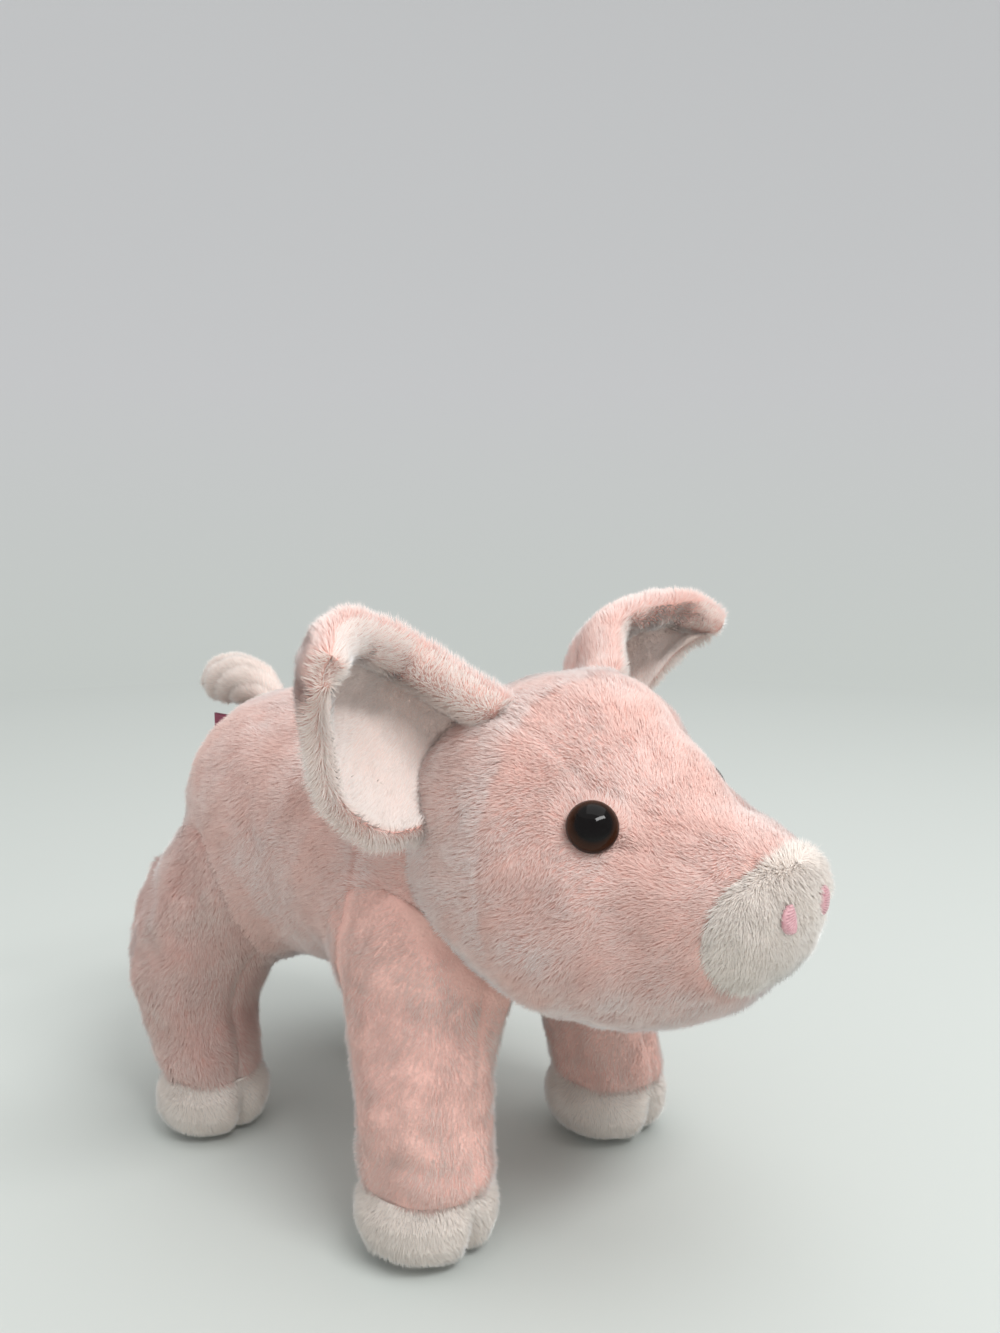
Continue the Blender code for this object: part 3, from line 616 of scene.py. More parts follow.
EYES = {
    side_name: point_and_normal(head, place_at(head, EYE_SHARE), turned_to(side, EYE_TURN))
    for side_name, side in SIDES
}


def dimples(points):
    """How deep the eyes' posts draw the cover in: a bell curve round each eye."""
    return EYE_DIMPLE_DEPTH * sum(
        bell(np.linalg.norm(points - place, axis=-1), EYE_DIMPLE_RADIUS)
        for place, _ in EYES.values()
    )


SEAM_DEPTH, SEAM_WIDTH = 0.0006, 0.0014
HEAD_GROOVE, NECK_CLOSENESS, SNOUT_CLOSENESS = 0.0012, 40, 12
HEAD_SLACK = ((0.0004, 0.016, 13), (0.00015, 0.007, 14))
BROW_RISE, BROW_RADIUS, BROW_SHARE, BROW_TURN = 0.0018, 0.0110, 0.66, math.radians(60)
GUSSET_SHARES = ((0.36, 124), (0.50, 127), (0.60, 130), (0.70, 121), (0.80, 114))
DART_SHARES = ((0.66, 146), (0.75, 138), (0.82, 132), (0.87, 137))


def sewn_line(shares, side):
    """Points along a seam of the head: each row has its share and its turn in degrees."""
    share = np.linspace(shares[0][0], shares[-1][0], 60)
    turn = np.radians(np.interp(share, *zip(*shares)))
    return barrel_points(head, place_at(head, share), turned_to(side, turn))


HEAD_SEAMS = np.concatenate([
    sewn_line(shares, side) for shares in (GUSSET_SHARES, DART_SHARES) for side in (1, -1)
])


def beside_seam(points, width):
    """1 on the head's seams, falling by a bell curve to either side."""
    nearest = np.full(points.shape[:-1], 1.0)
    for stitch in HEAD_SEAMS:
        nearest = np.minimum(nearest, ((points - stitch) ** 2).sum(-1))
    return np.exp(-nearest / width**2)


def head_rings(rows, sides, depth, snout):
    """The head from the neck to the snout seam, or the snout panel beyond it."""
    turn, neck, seam = head_lines(sides, BACKING_DEPTH)
    share = np.linspace(0, 1, rows)[:, None]
    first, last = (seam, np.full(sides, 0.992)) if snout else (neck, seam)
    rings = barrel_points(head, first + (last - first) * share, turn)
    near_seam = (1 - share) if snout else share
    closeness = SNOUT_CLOSENESS if snout else NECK_CLOSENESS
    groove = HEAD_GROOVE * bell((1 - near_seam) * closeness)
    normals = outward(rings)
    slack = ripples(rings, *HEAD_SLACK)
    brow = rings - barrel_points(head, place_at(head, BROW_SHARE), BROW_TURN)
    slack += BROW_RISE * bell(np.linalg.norm(brow, axis=-1), BROW_RADIUS)
    sunk = dimples(rings) + SEAM_DEPTH * beside_seam(rings, SEAM_WIDTH) + groove + depth - slack
    return rings - normals * sunk[..., None], normals


def walled(piece, thickness=0.0007):
    """Gives an open cover the thickness of its cloth, inwards."""
    wall = piece.modifiers.new("cloth_thickness", "SOLIDIFY")
    wall.thickness, wall.offset = thickness, -1
    return piece


head_surface = head_rings(110, 170, BACKING_DEPTH, False)
head_skin = walled(closed_skin("head_backing", head_surface[0], [PINK_BACKING]))
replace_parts(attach(head_skin, "pig"), "head_cover")

snout_surface = head_rings(30, 150, BACKING_DEPTH, True)
snout_skin = walled(closed_skin("snout_backing", snout_surface[0], [WHITE_BACKING],
                                end=ends_of(head, BACKING_DEPTH)[1]))
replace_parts(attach(snout_skin, "pig"), "snout_cover")


def chest_behind(points, clearance):
    """The points moved along -Y until they lie in front of the body's chest."""
    near, far = points.copy(), points.copy()
    far[..., 1] = ends_of(body, 0)[1][1] - 0.02
    for _ in range(24):
        half = (near + far) / 2
        inside = (distance_out(body, half) < clearance)[..., None]
        near, far = np.where(inside, half, near), np.where(inside, far, half)
    return far


filling_rings, filling_normals = head_rings(60, 80, FILLING_DEPTH, False)
tufts = tufted(filling_rings, filling_normals)
neck_middle = tufts[0].mean(0)
hollow = chest_behind(
    neck_middle + (tufts[0] - neck_middle) * np.linspace(0.1, 0.9, 8)[:, None, None], 0.0005)
chest_pole = chest_behind(neck_middle[None], 0.0005)[0]
muzzle = head_rings(16, 80, FILLING_DEPTH, True)[0][1:-3]
head_filling = closed_skin("head_filling", np.concatenate([hollow, tufts, muzzle]), [FIBRE],
                           chest_pole, ends_of(head, FILLING_DEPTH)[1])
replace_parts(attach(head_filling, "pig"), "head_stuffing")

# The legs and hooves: each leg is a stuffed sleeve of pink plush, sewn to the
# body at its top and to a white plush hoof at its foot. A few stitches through
# the front of each hoof draw it in to two toes.

CLEFT_DEPTH, CLEFT_WIDTH = 0.0032, 0.0050
LEG_GROOVE, LEG_STITCHES, HOOF_GROOVE = 0.0010, 0.0009, 0.0009
LEG_SLACK, LEG_CRUMPLES, HOOF_BACKING_DEPTH = 0.0005, 0.0002, 0.0014
HOOF_SHARES = ((0.00, 0.68), (0.07, 0.84), (0.22, 0.98), (0.45, 1.07), (0.72, 1.07), (1.00, 1.00))


def leg_points(leg, place, turn, depth):
    """Level circles round the leg's middle line."""
    centre, radius = leg_line(leg, place)
    radius = (radius - depth)[..., None]
    level = np.stack([leg.side * np.cos(turn), np.sin(turn), 0 * turn], -1)
    return centre + radius * level


def beside_leg_seam(leg, points):
    """1 on the seam down the front of a leg, falling by a bell curve to either side."""
    centre, radius = leg_line(leg, np.linspace(0, 1, 60))
    middle_x = np.interp(points[..., 2], centre[:, 2], centre[:, 0])
    middle_y = np.interp(points[..., 2], centre[:, 2], centre[:, 1])
    off = np.where(points[..., 1] < middle_y, points[..., 0] - middle_x, 1.0)
    return bell(off, SEAM_WIDTH)


def leg_rings(name, rows, sides, depth):
    """A sleeve from the hoof's seam up to where it meets the body or the head."""
    leg = LEGS[name]
    turn = full_turn(sides) - math.pi / 2
    places = np.linspace(0, 1, 160)
    lines = leg_points(leg, places[:, None], turn, depth)
    outside = distance_out(body, lines)
    if name.startswith("front"):
        outside = np.minimum(outside, distance_out(head, lines))
    top = first_crossing(outside + BACKING_DEPTH - SEAM_GAP, places)
    share = np.linspace(0, 1, rows)[:, None]
    rings = leg_points(leg, top * share, turn, depth)
    normals = outward(rings)
    groove = LEG_GROOVE * bell(share * 14) + LEG_STITCHES * beside_leg_seam(leg, rings)
    seed = 20 + sum(map(ord, name)) % 50
    slack = ripples(rings, (LEG_SLACK, 0.016, seed), (LEG_CRUMPLES, 0.007, seed + 1))
    rings = joined(rings, depth)
    fallen = outward(rings) * rump_slack(rings)[..., None]
    rings = rings + normals * (slack - groove)[..., None] - fallen
    return rings, outward(rings)


def hoof_rings(leg, rows, sides, depth):
    """Level rings from the sole to the seam, drawn in at the front by a bell curve."""
    turn = full_turn(sides) - math.pi / 2
    away = np.minimum(np.abs(turn + math.pi / 2), math.tau - np.abs(turn + math.pi / 2))
    height = np.linspace(0, 1, rows)[:, None]
    wide = np.interp(height, *zip(*HOOF_SHARES))
    half = leg.ankle / 2 * wide - depth
    groove = HOOF_GROOVE * bell((1 - height) * 6)
    cleft = CLEFT_DEPTH * 1.25 * (1 - height**2) * bell(away * leg.ankle, CLEFT_WIDTH)
    radius = half - cleft - groove
    level = depth + (HOOF_HEIGHT - SEAM_GAP / 2 - depth) * height
    x = leg.side * (STANCE_WIDTH / 2 + radius * np.cos(turn))
    y = leg.foot + radius * np.sin(turn)
    rings = np.stack([x, y, np.broadcast_to(level, x.shape)], -1) + MIDDLE
    return rings, outward(rings)


leg_surfaces, hoof_surfaces = {}, {}
for name, leg in LEGS.items():
    leg_surfaces[name] = leg_rings(name, 60, 84, BACKING_DEPTH)
    sleeve = walled(closed_skin(name + "_backing", leg_surfaces[name][0], [PINK_BACKING]))
    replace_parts(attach(sleeve, "pig"), name + "_cover")

    hoof_surfaces[name] = hoof_rings(leg, 30, 84, HOOF_BACKING_DEPTH)
    sole = hoof_surfaces[name][0][0].mean(0)
    hoof = walled(closed_skin(name + "_hoof_backing", hoof_surfaces[name][0],
                              [WHITE_BACKING], start=sole))
    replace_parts(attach(hoof, "pig"), name + "_hoof")

    toe, toe_normals = hoof_rings(leg, 12, 48, FILLING_DEPTH)
    shank, shank_normals = leg_rings(name, 40, 48, FILLING_DEPTH)
    inside = np.concatenate([tufted(toe, toe_normals), tufted(shank, shank_normals)])
    filling = closed_skin(name + "_filling", inside, [FIBRE], toe[0].mean(0), shank[-1].mean(0))
    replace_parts(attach(filling, "pig"), name + "_stuffing")

# The pile: dense soft hairs, about 2.4 mm long, that stand in the knitted backing,
# lean with the nap and gather in small tufts. Deep pink at the root, they fade to
# a frosted tip. Each hair is two narrow faces that meet in a ridge.

HAIR_DENSITY = 11e6
HAIR_LENGTH, HAIR_WIDTH = 0.0024, 0.00019
MOST_HAIRS, BAKE_CELLS = 96000, 64
SWIRLS, SWIRL_VARIES = ((0.50, 0.022, 41), (0.27, 0.007, 42)), 0.20
LEAN_VARIES, LEAN_RANGE = (0.09, 0.12), (0.15, 1.35)
LENGTH_VARIES, TUFT_PULL, TUFT_SIZE = 0.12, 0.14, 0.0016
TUFT_STRAYS = ((12.99, 39.3, 7.1), (78.2, 11.1, 53.7), (37.7, 83.1, 29.3))
PINK_ROOT, PINK_TIP, PINK_FROST = (0.90, 0.57, 0.50), (0.93, 0.67, 0.60), (0.96, 0.86, 0.82)
WHITE_ROOT, WHITE_TIP, WHITE_FROST = (0.95, 0.84, 0.76), (0.97, 0.90, 0.83), (0.98, 0.93, 0.88)


def dye_effect():
    """Hair colour: root to tip, frosted in drifts, and each hair a little lighter or
    darker than the next."""
    group, given, out = effect(
        "pile_dye", [(label, "Color") for label in ("Root", "Tip", "Frost")], [("Colour", "Color")])
    along, tone, frosted = (shader_node(group, "Attribute", "Fac", [("attribute_name", label)])
                            for label in ("along_hair", "hair_tone", "frosted"))
    drifts = ranged(group, noise(group, 60, Detail=4), 0.38, 0.64, 0.0, 0.80)
    paler = shader_node(group, "Math", "Value", (), drifts, frosted)
    tip = mixed(group, paler, given["Tip"], given["Frost"])
    hair = mixed(group, ranged(group, along, 0.1, 0.8), given["Root"], tip)
    toned = shader_node(group, "VectorMath", "Vector", [("operation", "SCALE")], hair,
                        Scale=ranged(group, tone, 0, 1, 0.91, 1.04))
    group.links.new(toned, out["Colour"])
    return group


def pile_material(name, root, tip, frost):
    """Soft matte hairs with a faint sheen."""
    made, tree = surface(name, 0.85, Sheen_Weight=1.0, Sheen_Roughness=0.35, Specular_IOR_Level=0.1)
    return painted(made, shader_node(tree, "Group", "Colour", [("node_tree", dye_group)],
                                     Root=(*root, 1), Tip=(*tip, 1), Frost=(*frost, 1)))


def sown(seed, points, normals, *marks):
    """Roots spread evenly by area over rings of points that close round, with their
    normals and whatever else is marked on the rings, and the source of the draws."""
    made = np.random.default_rng(seed)
    grids = [np.concatenate([grid, grid[:, :1]], 1) for grid in (points, normals, *marks)]
    corners = [grids[0][:-1, :-1], grids[0][1:, :-1], grids[0][1:, 1:], grids[0][:-1, 1:]]
    area = np.cross(corners[2] - corners[0], corners[3] - corners[1])
    area = np.linalg.norm(area, axis=-1).ravel() / 2
    count = int(area.sum() * HAIR_DENSITY)
    drawn = (np.arange(count) + made.random(count)) / count
    cell = np.searchsorted(np.cumsum(area) / area.sum(), drawn)
    row, column = np.divmod(np.minimum(cell, len(area) - 1), grids[0].shape[1] - 1)
    u, v = made.random((2, count, 1))
    root, normal, *rest = (
        grid[row, column] * (1 - u) * (1 - v) + grid[row + 1, column] * u * (1 - v)
        + grid[row + 1, column + 1] * u * v + grid[row, column + 1] * (1 - u) * v
        for grid in grids
    )
    return made, root, unit(normal), *rest


def combed(root, normal, nap, lean, length, made):
    """Tips of hairs: each leans from its normal towards the nap by an angle, both
    unsettled by slow ripples and by chance, and is drawn to the middle of its tuft."""
    nap = unit(nap - normal * (nap * normal).sum(-1, keepdims=True))
    side = np.cross(normal, nap)
    count = len(root)
    swirl = ripples(root, *SWIRLS) + SWIRL_VARIES * made.normal(size=count)
    nap = nap * np.cos(swirl)[:, None] + side * np.sin(swirl)[:, None]
    lean = lean + LEAN_VARIES[0] * ripple(root, 0.014, 43)
    lean = np.clip(lean + LEAN_VARIES[1] * made.normal(size=count), *LEAN_RANGE)[:, None]
    uneven = 1 + LENGTH_VARIES * ripple(root, 0.006, 44) + LENGTH_VARIES * made.normal(size=count)
    length = length * uneven
    tip = root + (normal * np.cos(lean) + nap * np.sin(lean)) * length[:, None]
    tuft = np.floor(root / TUFT_SIZE + 0.5 * ripple(root, 0.004, 45)[:, None])
    stray = np.modf(np.sin(tuft @ np.array(TUFT_STRAYS)) * 4375.5)[0]
    gather = (tuft + 0.5 + 0.5 * stray) * TUFT_SIZE - root
    gather -= normal * (gather * normal).sum(-1, keepdims=True)
    return tip + TUFT_PULL * gather


def pile(name, node, slot, material, roots, tips, normals, made, frost=0.0, rides="pig", bend=None):
    """Pieces of pile that stand for a node. Each hair is a root 3 points wide and a tip,
    with its place on the hair, its tone and its frost as attributes. On the bake map,
    neighbouring hairs share a cell, with the root at its foot and the tip at its head."""
    frost = np.broadcast_to(frost, len(roots))
    parts = max(1, math.ceil(len(roots) / MOST_HAIRS))
    for number, chosen in enumerate(np.array_split(np.arange(len(roots)), parts), 1):
        root, tip, normal, count = roots[chosen], tips[chosen], normals[chosen], len(chosen)
        heading = unit(tip - root)
        ridge = unit(normal - heading * (normal * heading).sum(-1, keepdims=True))
        side = np.cross(heading, ridge)
        half = (HAIR_WIDTH / 2 * made.uniform(0.7, 1.3, count))[:, None]
        corners = [root - side * half, root + ridge * half * 0.8, root + side * half, tip]
        facing = unit(np.stack([normal - side * 0.25, normal, normal + side * 0.25, normal], 1))
        turns = 4 * np.arange(count)[:, None] + np.array((0, 1, 3, 1, 2, 3))
        mesh = bpy.data.meshes.new(name)
        mesh.vertices.add(4 * count)
        mesh.vertices.foreach_set("co", np.stack(corners, 1).astype(np.float32).ravel())
        mesh.loops.add(6 * count)
        mesh.loops.foreach_set("vertex_index", turns.ravel().astype(np.int32))
        mesh.polygons.add(2 * count)
        mesh.polygons.foreach_set("loop_start", 3 * np.arange(2 * count, dtype=np.int32))
        mesh.update(calc_edges=True)
        mesh.shade_smooth()
        for label, kind, part, values in (
            ("custom_normal", "FLOAT_VECTOR", "vector", facing),
            ("along_hair", "FLOAT", "value", np.tile((0, 0, 0, 1), count)),
            ("hair_tone", "FLOAT", "value", np.repeat(made.random(count), 4)),
            ("frosted", "FLOAT", "value", np.repeat(frost[chosen], 4)),
        ):
            mark = mesh.attributes.new(label, kind, "POINT")
            mark.data.foreach_set(part, values.astype(np.float32).ravel())
        cell = (np.arange(count) * BAKE_CELLS**2) // count
        corner = np.stack([cell % BAKE_CELLS, cell // BAKE_CELLS], -1)[:, None] + np.array(
            ((0.1, 0.1), (0.5, 0.1), (0.5, 0.9), (0.5, 0.1), (0.9, 0.1), (0.5, 0.9)))
        corner = (corner / BAKE_CELLS).astype(np.float32)
        mesh.uv_layers.new(name="OFBake").data.foreach_set("uv", corner.ravel())
        mesh.materials.append(material)
        piece = bpy.data.objects.new(f"{name}_{number}" if parts > 1 else name, mesh)
        bpy.context.scene.collection.objects.link(piece)
        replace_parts(piece, node)
        if bend:
            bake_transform(piece)
        else:
            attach(piece, rides)


def plant(name, node, slot, material, root, normal, nap, lean, length, made, **more):
    """Combs hairs over their roots and makes them pieces of pile."""
    tips = combed(root, normal, nap, lean, length, made)
    pile(name, node, slot, material, root, tips, normal, made, **more)


dye_group = dye_effect()
PINK_PILE = pile_material("pink_pile", PINK_ROOT, PINK_TIP, PINK_FROST)
# The legs' pile is the same fabric as the pink pile with darker colours: painted shade for the
# legs, not a different dye.
SHADED_LEG_PILE = pile_material("leg_pile", (0.80, 0.50, 0.44), (0.83, 0.59, 0.53), (0.89, 0.77, 0.71))
WHITE_PILE = pile_material("white_pile", WHITE_ROOT, WHITE_TIP, WHITE_FROST)
NO_PILE_BELOW = -0.0022
BODY_NAP, HEAD_NAP, LEG_NAP, HOOF_NAP = np.array((
    (0, 1, -0.75), (0, 1, -0.35), (0, 0.15, -1), (0, -0.2, -1)))
BODY_LEAN, HEAD_LEAN, LEG_LEAN, HOOF_LEAN = 0.90, 0.80, 0.90, 0.75
JAW_WIDTH, NECK_WIDTH, PARTING_WIDTH, LONG_BELOW = 0.010, 0.004, 0.003, 0.082


def uncovered(points, away):
    """Which points lie outside the head, and by their distances outside what else is
    sewn over them."""
    return ((distance_out(head, points) > NO_PILE_BELOW)
            & (away > NO_PILE_BELOW - rump_slack(points)))


def beside_head(points):
    """1 at the head's skin, falling by a bell curve outside it."""
    return bell(np.maximum(distance_out(head, points), 0), NECK_WIDTH)


def flatter_behind(normal):
    """How much more the pile leans where it faces up or back, brushed along the back."""
    return 0.30 * np.clip(normal @ unit(np.array((0.0, 0.5, 1.0))), 0, 1)


# Body: the nap runs back from the neck and down the sides, on to the rump's middle.
to_pole = np.array((0.05, 0.5))[:, None, None]
pole = ends_of(body, BACKING_DEPTH)[0]
pole_normals = body_surface[1][0].mean(0) * (1 - to_pole) + body_surface[1][:1] * to_pole
body_field = (np.concatenate([pole + (body_surface[0][:1] - pole) * to_pole, body_surface[0]]),
              np.concatenate([unit(pole_normals), body_surface[1]]))
made, root, normal = sown(101, *body_field)
keep = uncovered(root, legs_away(root))
root, normal = root[keep], normal[keep]
length = HAIR_LENGTH * (0.95 - 0.5 * beside_head(root))
plant("body_pile", "body_cover", "pink_plush", PINK_PILE, root, normal, BODY_NAP,
      BODY_LEAN + flatter_behind(normal), length, made)

# Head: the nap runs back from the snout; the eyes part it.
made, root, normal = sown(102, *head_surface)
keep = distance_out(body, root) > NO_PILE_BELOW
for place, out in EYES.values():
    keep &= np.linalg.norm(root - place, axis=-1) > EYE_RADIUS
root, normal = root[keep], normal[keep]
nap = HEAD_NAP
low = np.clip((LONG_BELOW - root[:, 2]) / 0.018, 0, 1)
jaw = bell(distance_out(body, root), JAW_WIDTH)
length = HAIR_LENGTH * (0.66 + 0.34 * np.maximum(low, jaw))
length = length * (1 - 0.35 * beside_seam(root, SEAM_WIDTH))
for place, out in EYES.values():
    apart = root - place
    away = np.linalg.norm(apart, axis=-1)
    beside = bell(away - EYE_RADIUS, PARTING_WIDTH)[:, None]
    nap = nap + 1.2 * beside * unit(apart)
paler = jaw * np.clip(0.75 + 0.45 * ripple(root, 0.011, 46), 0, 1)
paler = np.maximum(0.85 * paler, 0.55 * low * np.clip(ripple(root, 0.012, 47), 0, 1))
plant("head_pile", "head_cover", "pink_plush", PINK_PILE, root, normal, nap,
      HEAD_LEAN + 0.15 * low + flatter_behind(normal), length, made, frost=paler)

# Snout panel: shorter white pile that lies outwards from the middle.
made, root, normal = sown(103, *snout_surface)
nap = root - head_surface[0].mean((0, 1))
nap = np.stack([nap[:, 0], 0 * nap[:, 1], nap[:, 2] - 0.02], -1)
edge = bell(np.linalg.norm(root[:, None] - snout_surface[0][0][::5], axis=-1).min(1), NECK_WIDTH)
nap += edge[:, None] * (0.0, 0.03, 0.0)
plant("snout_pile", "snout_cover", "white_plush", WHITE_PILE, root, normal, nap,
      HEAD_LEAN + 0.15 * edge, (0.70 + 0.45 * edge) * HAIR_LENGTH, made)

# Legs and hooves: the nap runs down, and the hoof's pile is shorter. The legs wear a darker copy of
# the pink pile, which is painted shade.
for seed, (name, leg) in enumerate(LEGS.items()):
    made, root, normal = sown(110 + seed, *leg_surfaces[name])
    keep = uncovered(root, distance_out(body, root))
    root, normal = root[keep], normal[keep]
    seam = beside_leg_seam(leg, root)
    length = HAIR_LENGTH * (1.0 - 0.35 * seam - 0.5 * beside_head(root))
    plant(name + "_pile", name + "_cover", "pink_plush", SHADED_LEG_PILE, root, normal, LEG_NAP,
          LEG_LEAN, length, made, frost=bell(seam - 0.45, 0.3) * 0.5)

    made, root, normal = sown(120 + seed, *hoof_surfaces[name])
    length = 0.70 * HAIR_LENGTH * np.clip(root[:, 2] / 0.004, 0.15, 1)
    tips = combed(root, normal, HOOF_NAP, HOOF_LEAN, length, made)
    tips[:, 2] = np.maximum(tips[:, 2], 0.0001)
    pile(name + "_hoof_pile", name + "_hoof", "white_plush", WHITE_PILE, root, tips, normal, made)

# The ears: a cupped leaf of pink plush, pile outside, turned forward over a
# smooth short-napped lining and sewn to the head along its root.

EAR_LENGTH, EAR_WIDTH, EAR_DEPTH = 0.046, 0.038, 0.017
EAR_RISE, EAR_SINK = math.radians(37), 0.0040
EAR_SHARE, EAR_TURN = 0.253, math.radians(38)
EAR_SHARES = (
    ((-0.03, -0.44, -0.12), (-0.01, 0.07, -0.65), (0.05, 0.38, 0.47)),
    ((0.17, -0.58, -0.14), (0.27, 0.06, -1.00), (0.41, 0.45, -0.29)),
    ((0.50, -0.56, -0.12), (0.63, 0.00, -0.82), (0.78, 0.33, -0.12)),
    ((0.79, -0.31, 0.08), (0.88, -0.07, -0.20), (0.97, 0.15, 0.20)),
    ((0.96, -0.15, 0.36), (1.00, -0.08, 0.40), (1.02, -0.01, 0.48)),
)
EAR_CORE, TOP_ROLL, LOW_ROLL, EDGE_POWER, ROLL_POWER = 0.0011, 0.0041, 0.0009, 1.6, 0.6
EAR_CURLS, EAR_HOLLOW, EAR_NARROWS = {-1: 0.0, 1: math.radians(31)}, 0.9, {-1: 0.0, 1: 0.35}
LINING_LOW, LINING_END, LINING_RISE = -0.97, 0.95, 0.0010
LINING_COLOUR, LINING_SHADE = (0.95, 0.81, 0.75), (0.93, 0.74, 0.67)
NAP_LENGTH, EAR_BEND = 0.0010, 0.009


def ear_axes(side):
    """Directions out along the ear, up across it and forward out of its hollow."""
    return head.turned @ np.array((
        (side * math.cos(EAR_RISE), -side * math.sin(EAR_RISE), 0),
        (0, 0, -1),
        (math.sin(EAR_RISE), math.cos(EAR_RISE), 0),
    ))


def ear_middle(side, along, across):
    """The leaf's middle surface: rows through the table, and across each row a
    parabola through its lower edge, hollow and upper edge. The left ear curls
    forward: it turns round the bottom of its hollow, and draws its lower edge up, more
    and more as it leaves the root. Below the root the leaf goes straight on into the head."""
    root, normal = point_and_normal(head, place_at(head, EAR_SHARE), turned_to(side, EAR_TURN))
    rows = through(np.reshape(EAR_SHARES, (5, 9)), np.maximum(along, 0)).reshape(*along.shape, 3, 3)
    v = across[..., None]
    shares = (rows[..., 0, :] * v * (v - 1) / 2 + rows[..., 1, :] * (1 - v * v)
              + rows[..., 2, :] * v * (v + 1) / 2)
    shares[..., 0] += np.minimum(along, 0)
    sizes = shares * (EAR_LENGTH, EAR_WIDTH, EAR_DEPTH)
    curl = EAR_CURLS[side] * np.clip(along / 0.5, 0, 1)
    narrow = 1 - EAR_NARROWS[side] * np.clip(along / 0.6, 0, 1) * np.maximum(-across, 0)
    up, forward = sizes[..., 1] * narrow, sizes[..., 2] + EAR_HOLLOW * EAR_DEPTH
    sizes[..., 1] = up * np.cos(curl) - forward * np.sin(curl)
    sizes[..., 2] = up * np.sin(curl) + forward * np.cos(curl) - EAR_HOLLOW * EAR_DEPTH
    return sizes @ ear_axes(side).T + root - normal * EAR_SINK


def ear_leaf(side, along, across, height):
    """Points at a height above the middle surface, towards the hollow."""
    along, across, height = np.broadcast_arrays(along, across, height)
    step = 1e-3
    out = ear_middle(side, along + step, across) - ear_middle(side, along - step, across)
    over = ear_middle(side, along, across + step) - ear_middle(side, along, across - step)
    slope = unit(np.cross(out, over)) * side
    return ear_middle(side, along, across) + slope * height[..., None], slope


def ear_heights(side, along, across):
    """The ear's half thickness and the height of its rolled rim. Both rise with the
    distances to the edges, joined by the power of minus 1.6: the first like a quarter
    circle, the second like a half sine to the power 0.6, which is a fat roll above and
    round the tip, and a slight one below."""
    middle, upper, lower = (ear_middle(side, along, at + 0 * along) for at in (0.0, 1.0, -1.0))
    above = (1 - across) * np.linalg.norm(upper - middle, axis=-1)
    below = (1 + across) * np.linalg.norm(lower - middle, axis=-1)
    edges = np.maximum(np.stack(np.broadcast_arrays(above, below, (1 - along) * EAR_LENGTH)), 1e-7)
    near = (edges**-EDGE_POWER).sum(0) ** (-1 / EDGE_POWER)
    core = EAR_CORE * np.sqrt(1 - (1 - np.clip(near / EAR_CORE, 0, 1)) ** 2)
    fat = np.clip((across + 0.8) / 1.5, 0, 1)
    radius = LOW_ROLL + (TOP_ROLL - LOW_ROLL) * fat**2 * (3 - 2 * fat)
    return core, radius * np.sin(np.pi * np.clip(near / (2 * radius), 0, 1)) ** ROLL_POWER


def lining_top(side, along):
    """How far up across the ear the lining reaches: to the foot of the rolled rim."""
    edge, middle = (ear_middle(side, along, across + 0 * along) for across in (1, 0))
    width = np.linalg.norm(edge - middle, axis=-1)
    return np.maximum(1 - 1.7 * TOP_ROLL / width, -0.6)


def lining_end(share):
    """How far out along the ear the lining reaches, at a share of the way up it: its
    upper corner is cut round."""
    return LINING_END - 0.22 * share**2.5


def lining_material():
    """Short smooth nap: fine specks and soft brushed patches."""
    made, tree = surface("ear_lining_nap", 0.8, Sheen_Weight=0.4)
    brushed = ranged(tree, noise(tree, 90, Detail=8), 0.35, 0.6)
    colour = mixed(tree, brushed, LINING_SHADE, LINING_COLOUR)
    return painted(made, colour, noise(tree, 2600), 0.0002, 0.5)


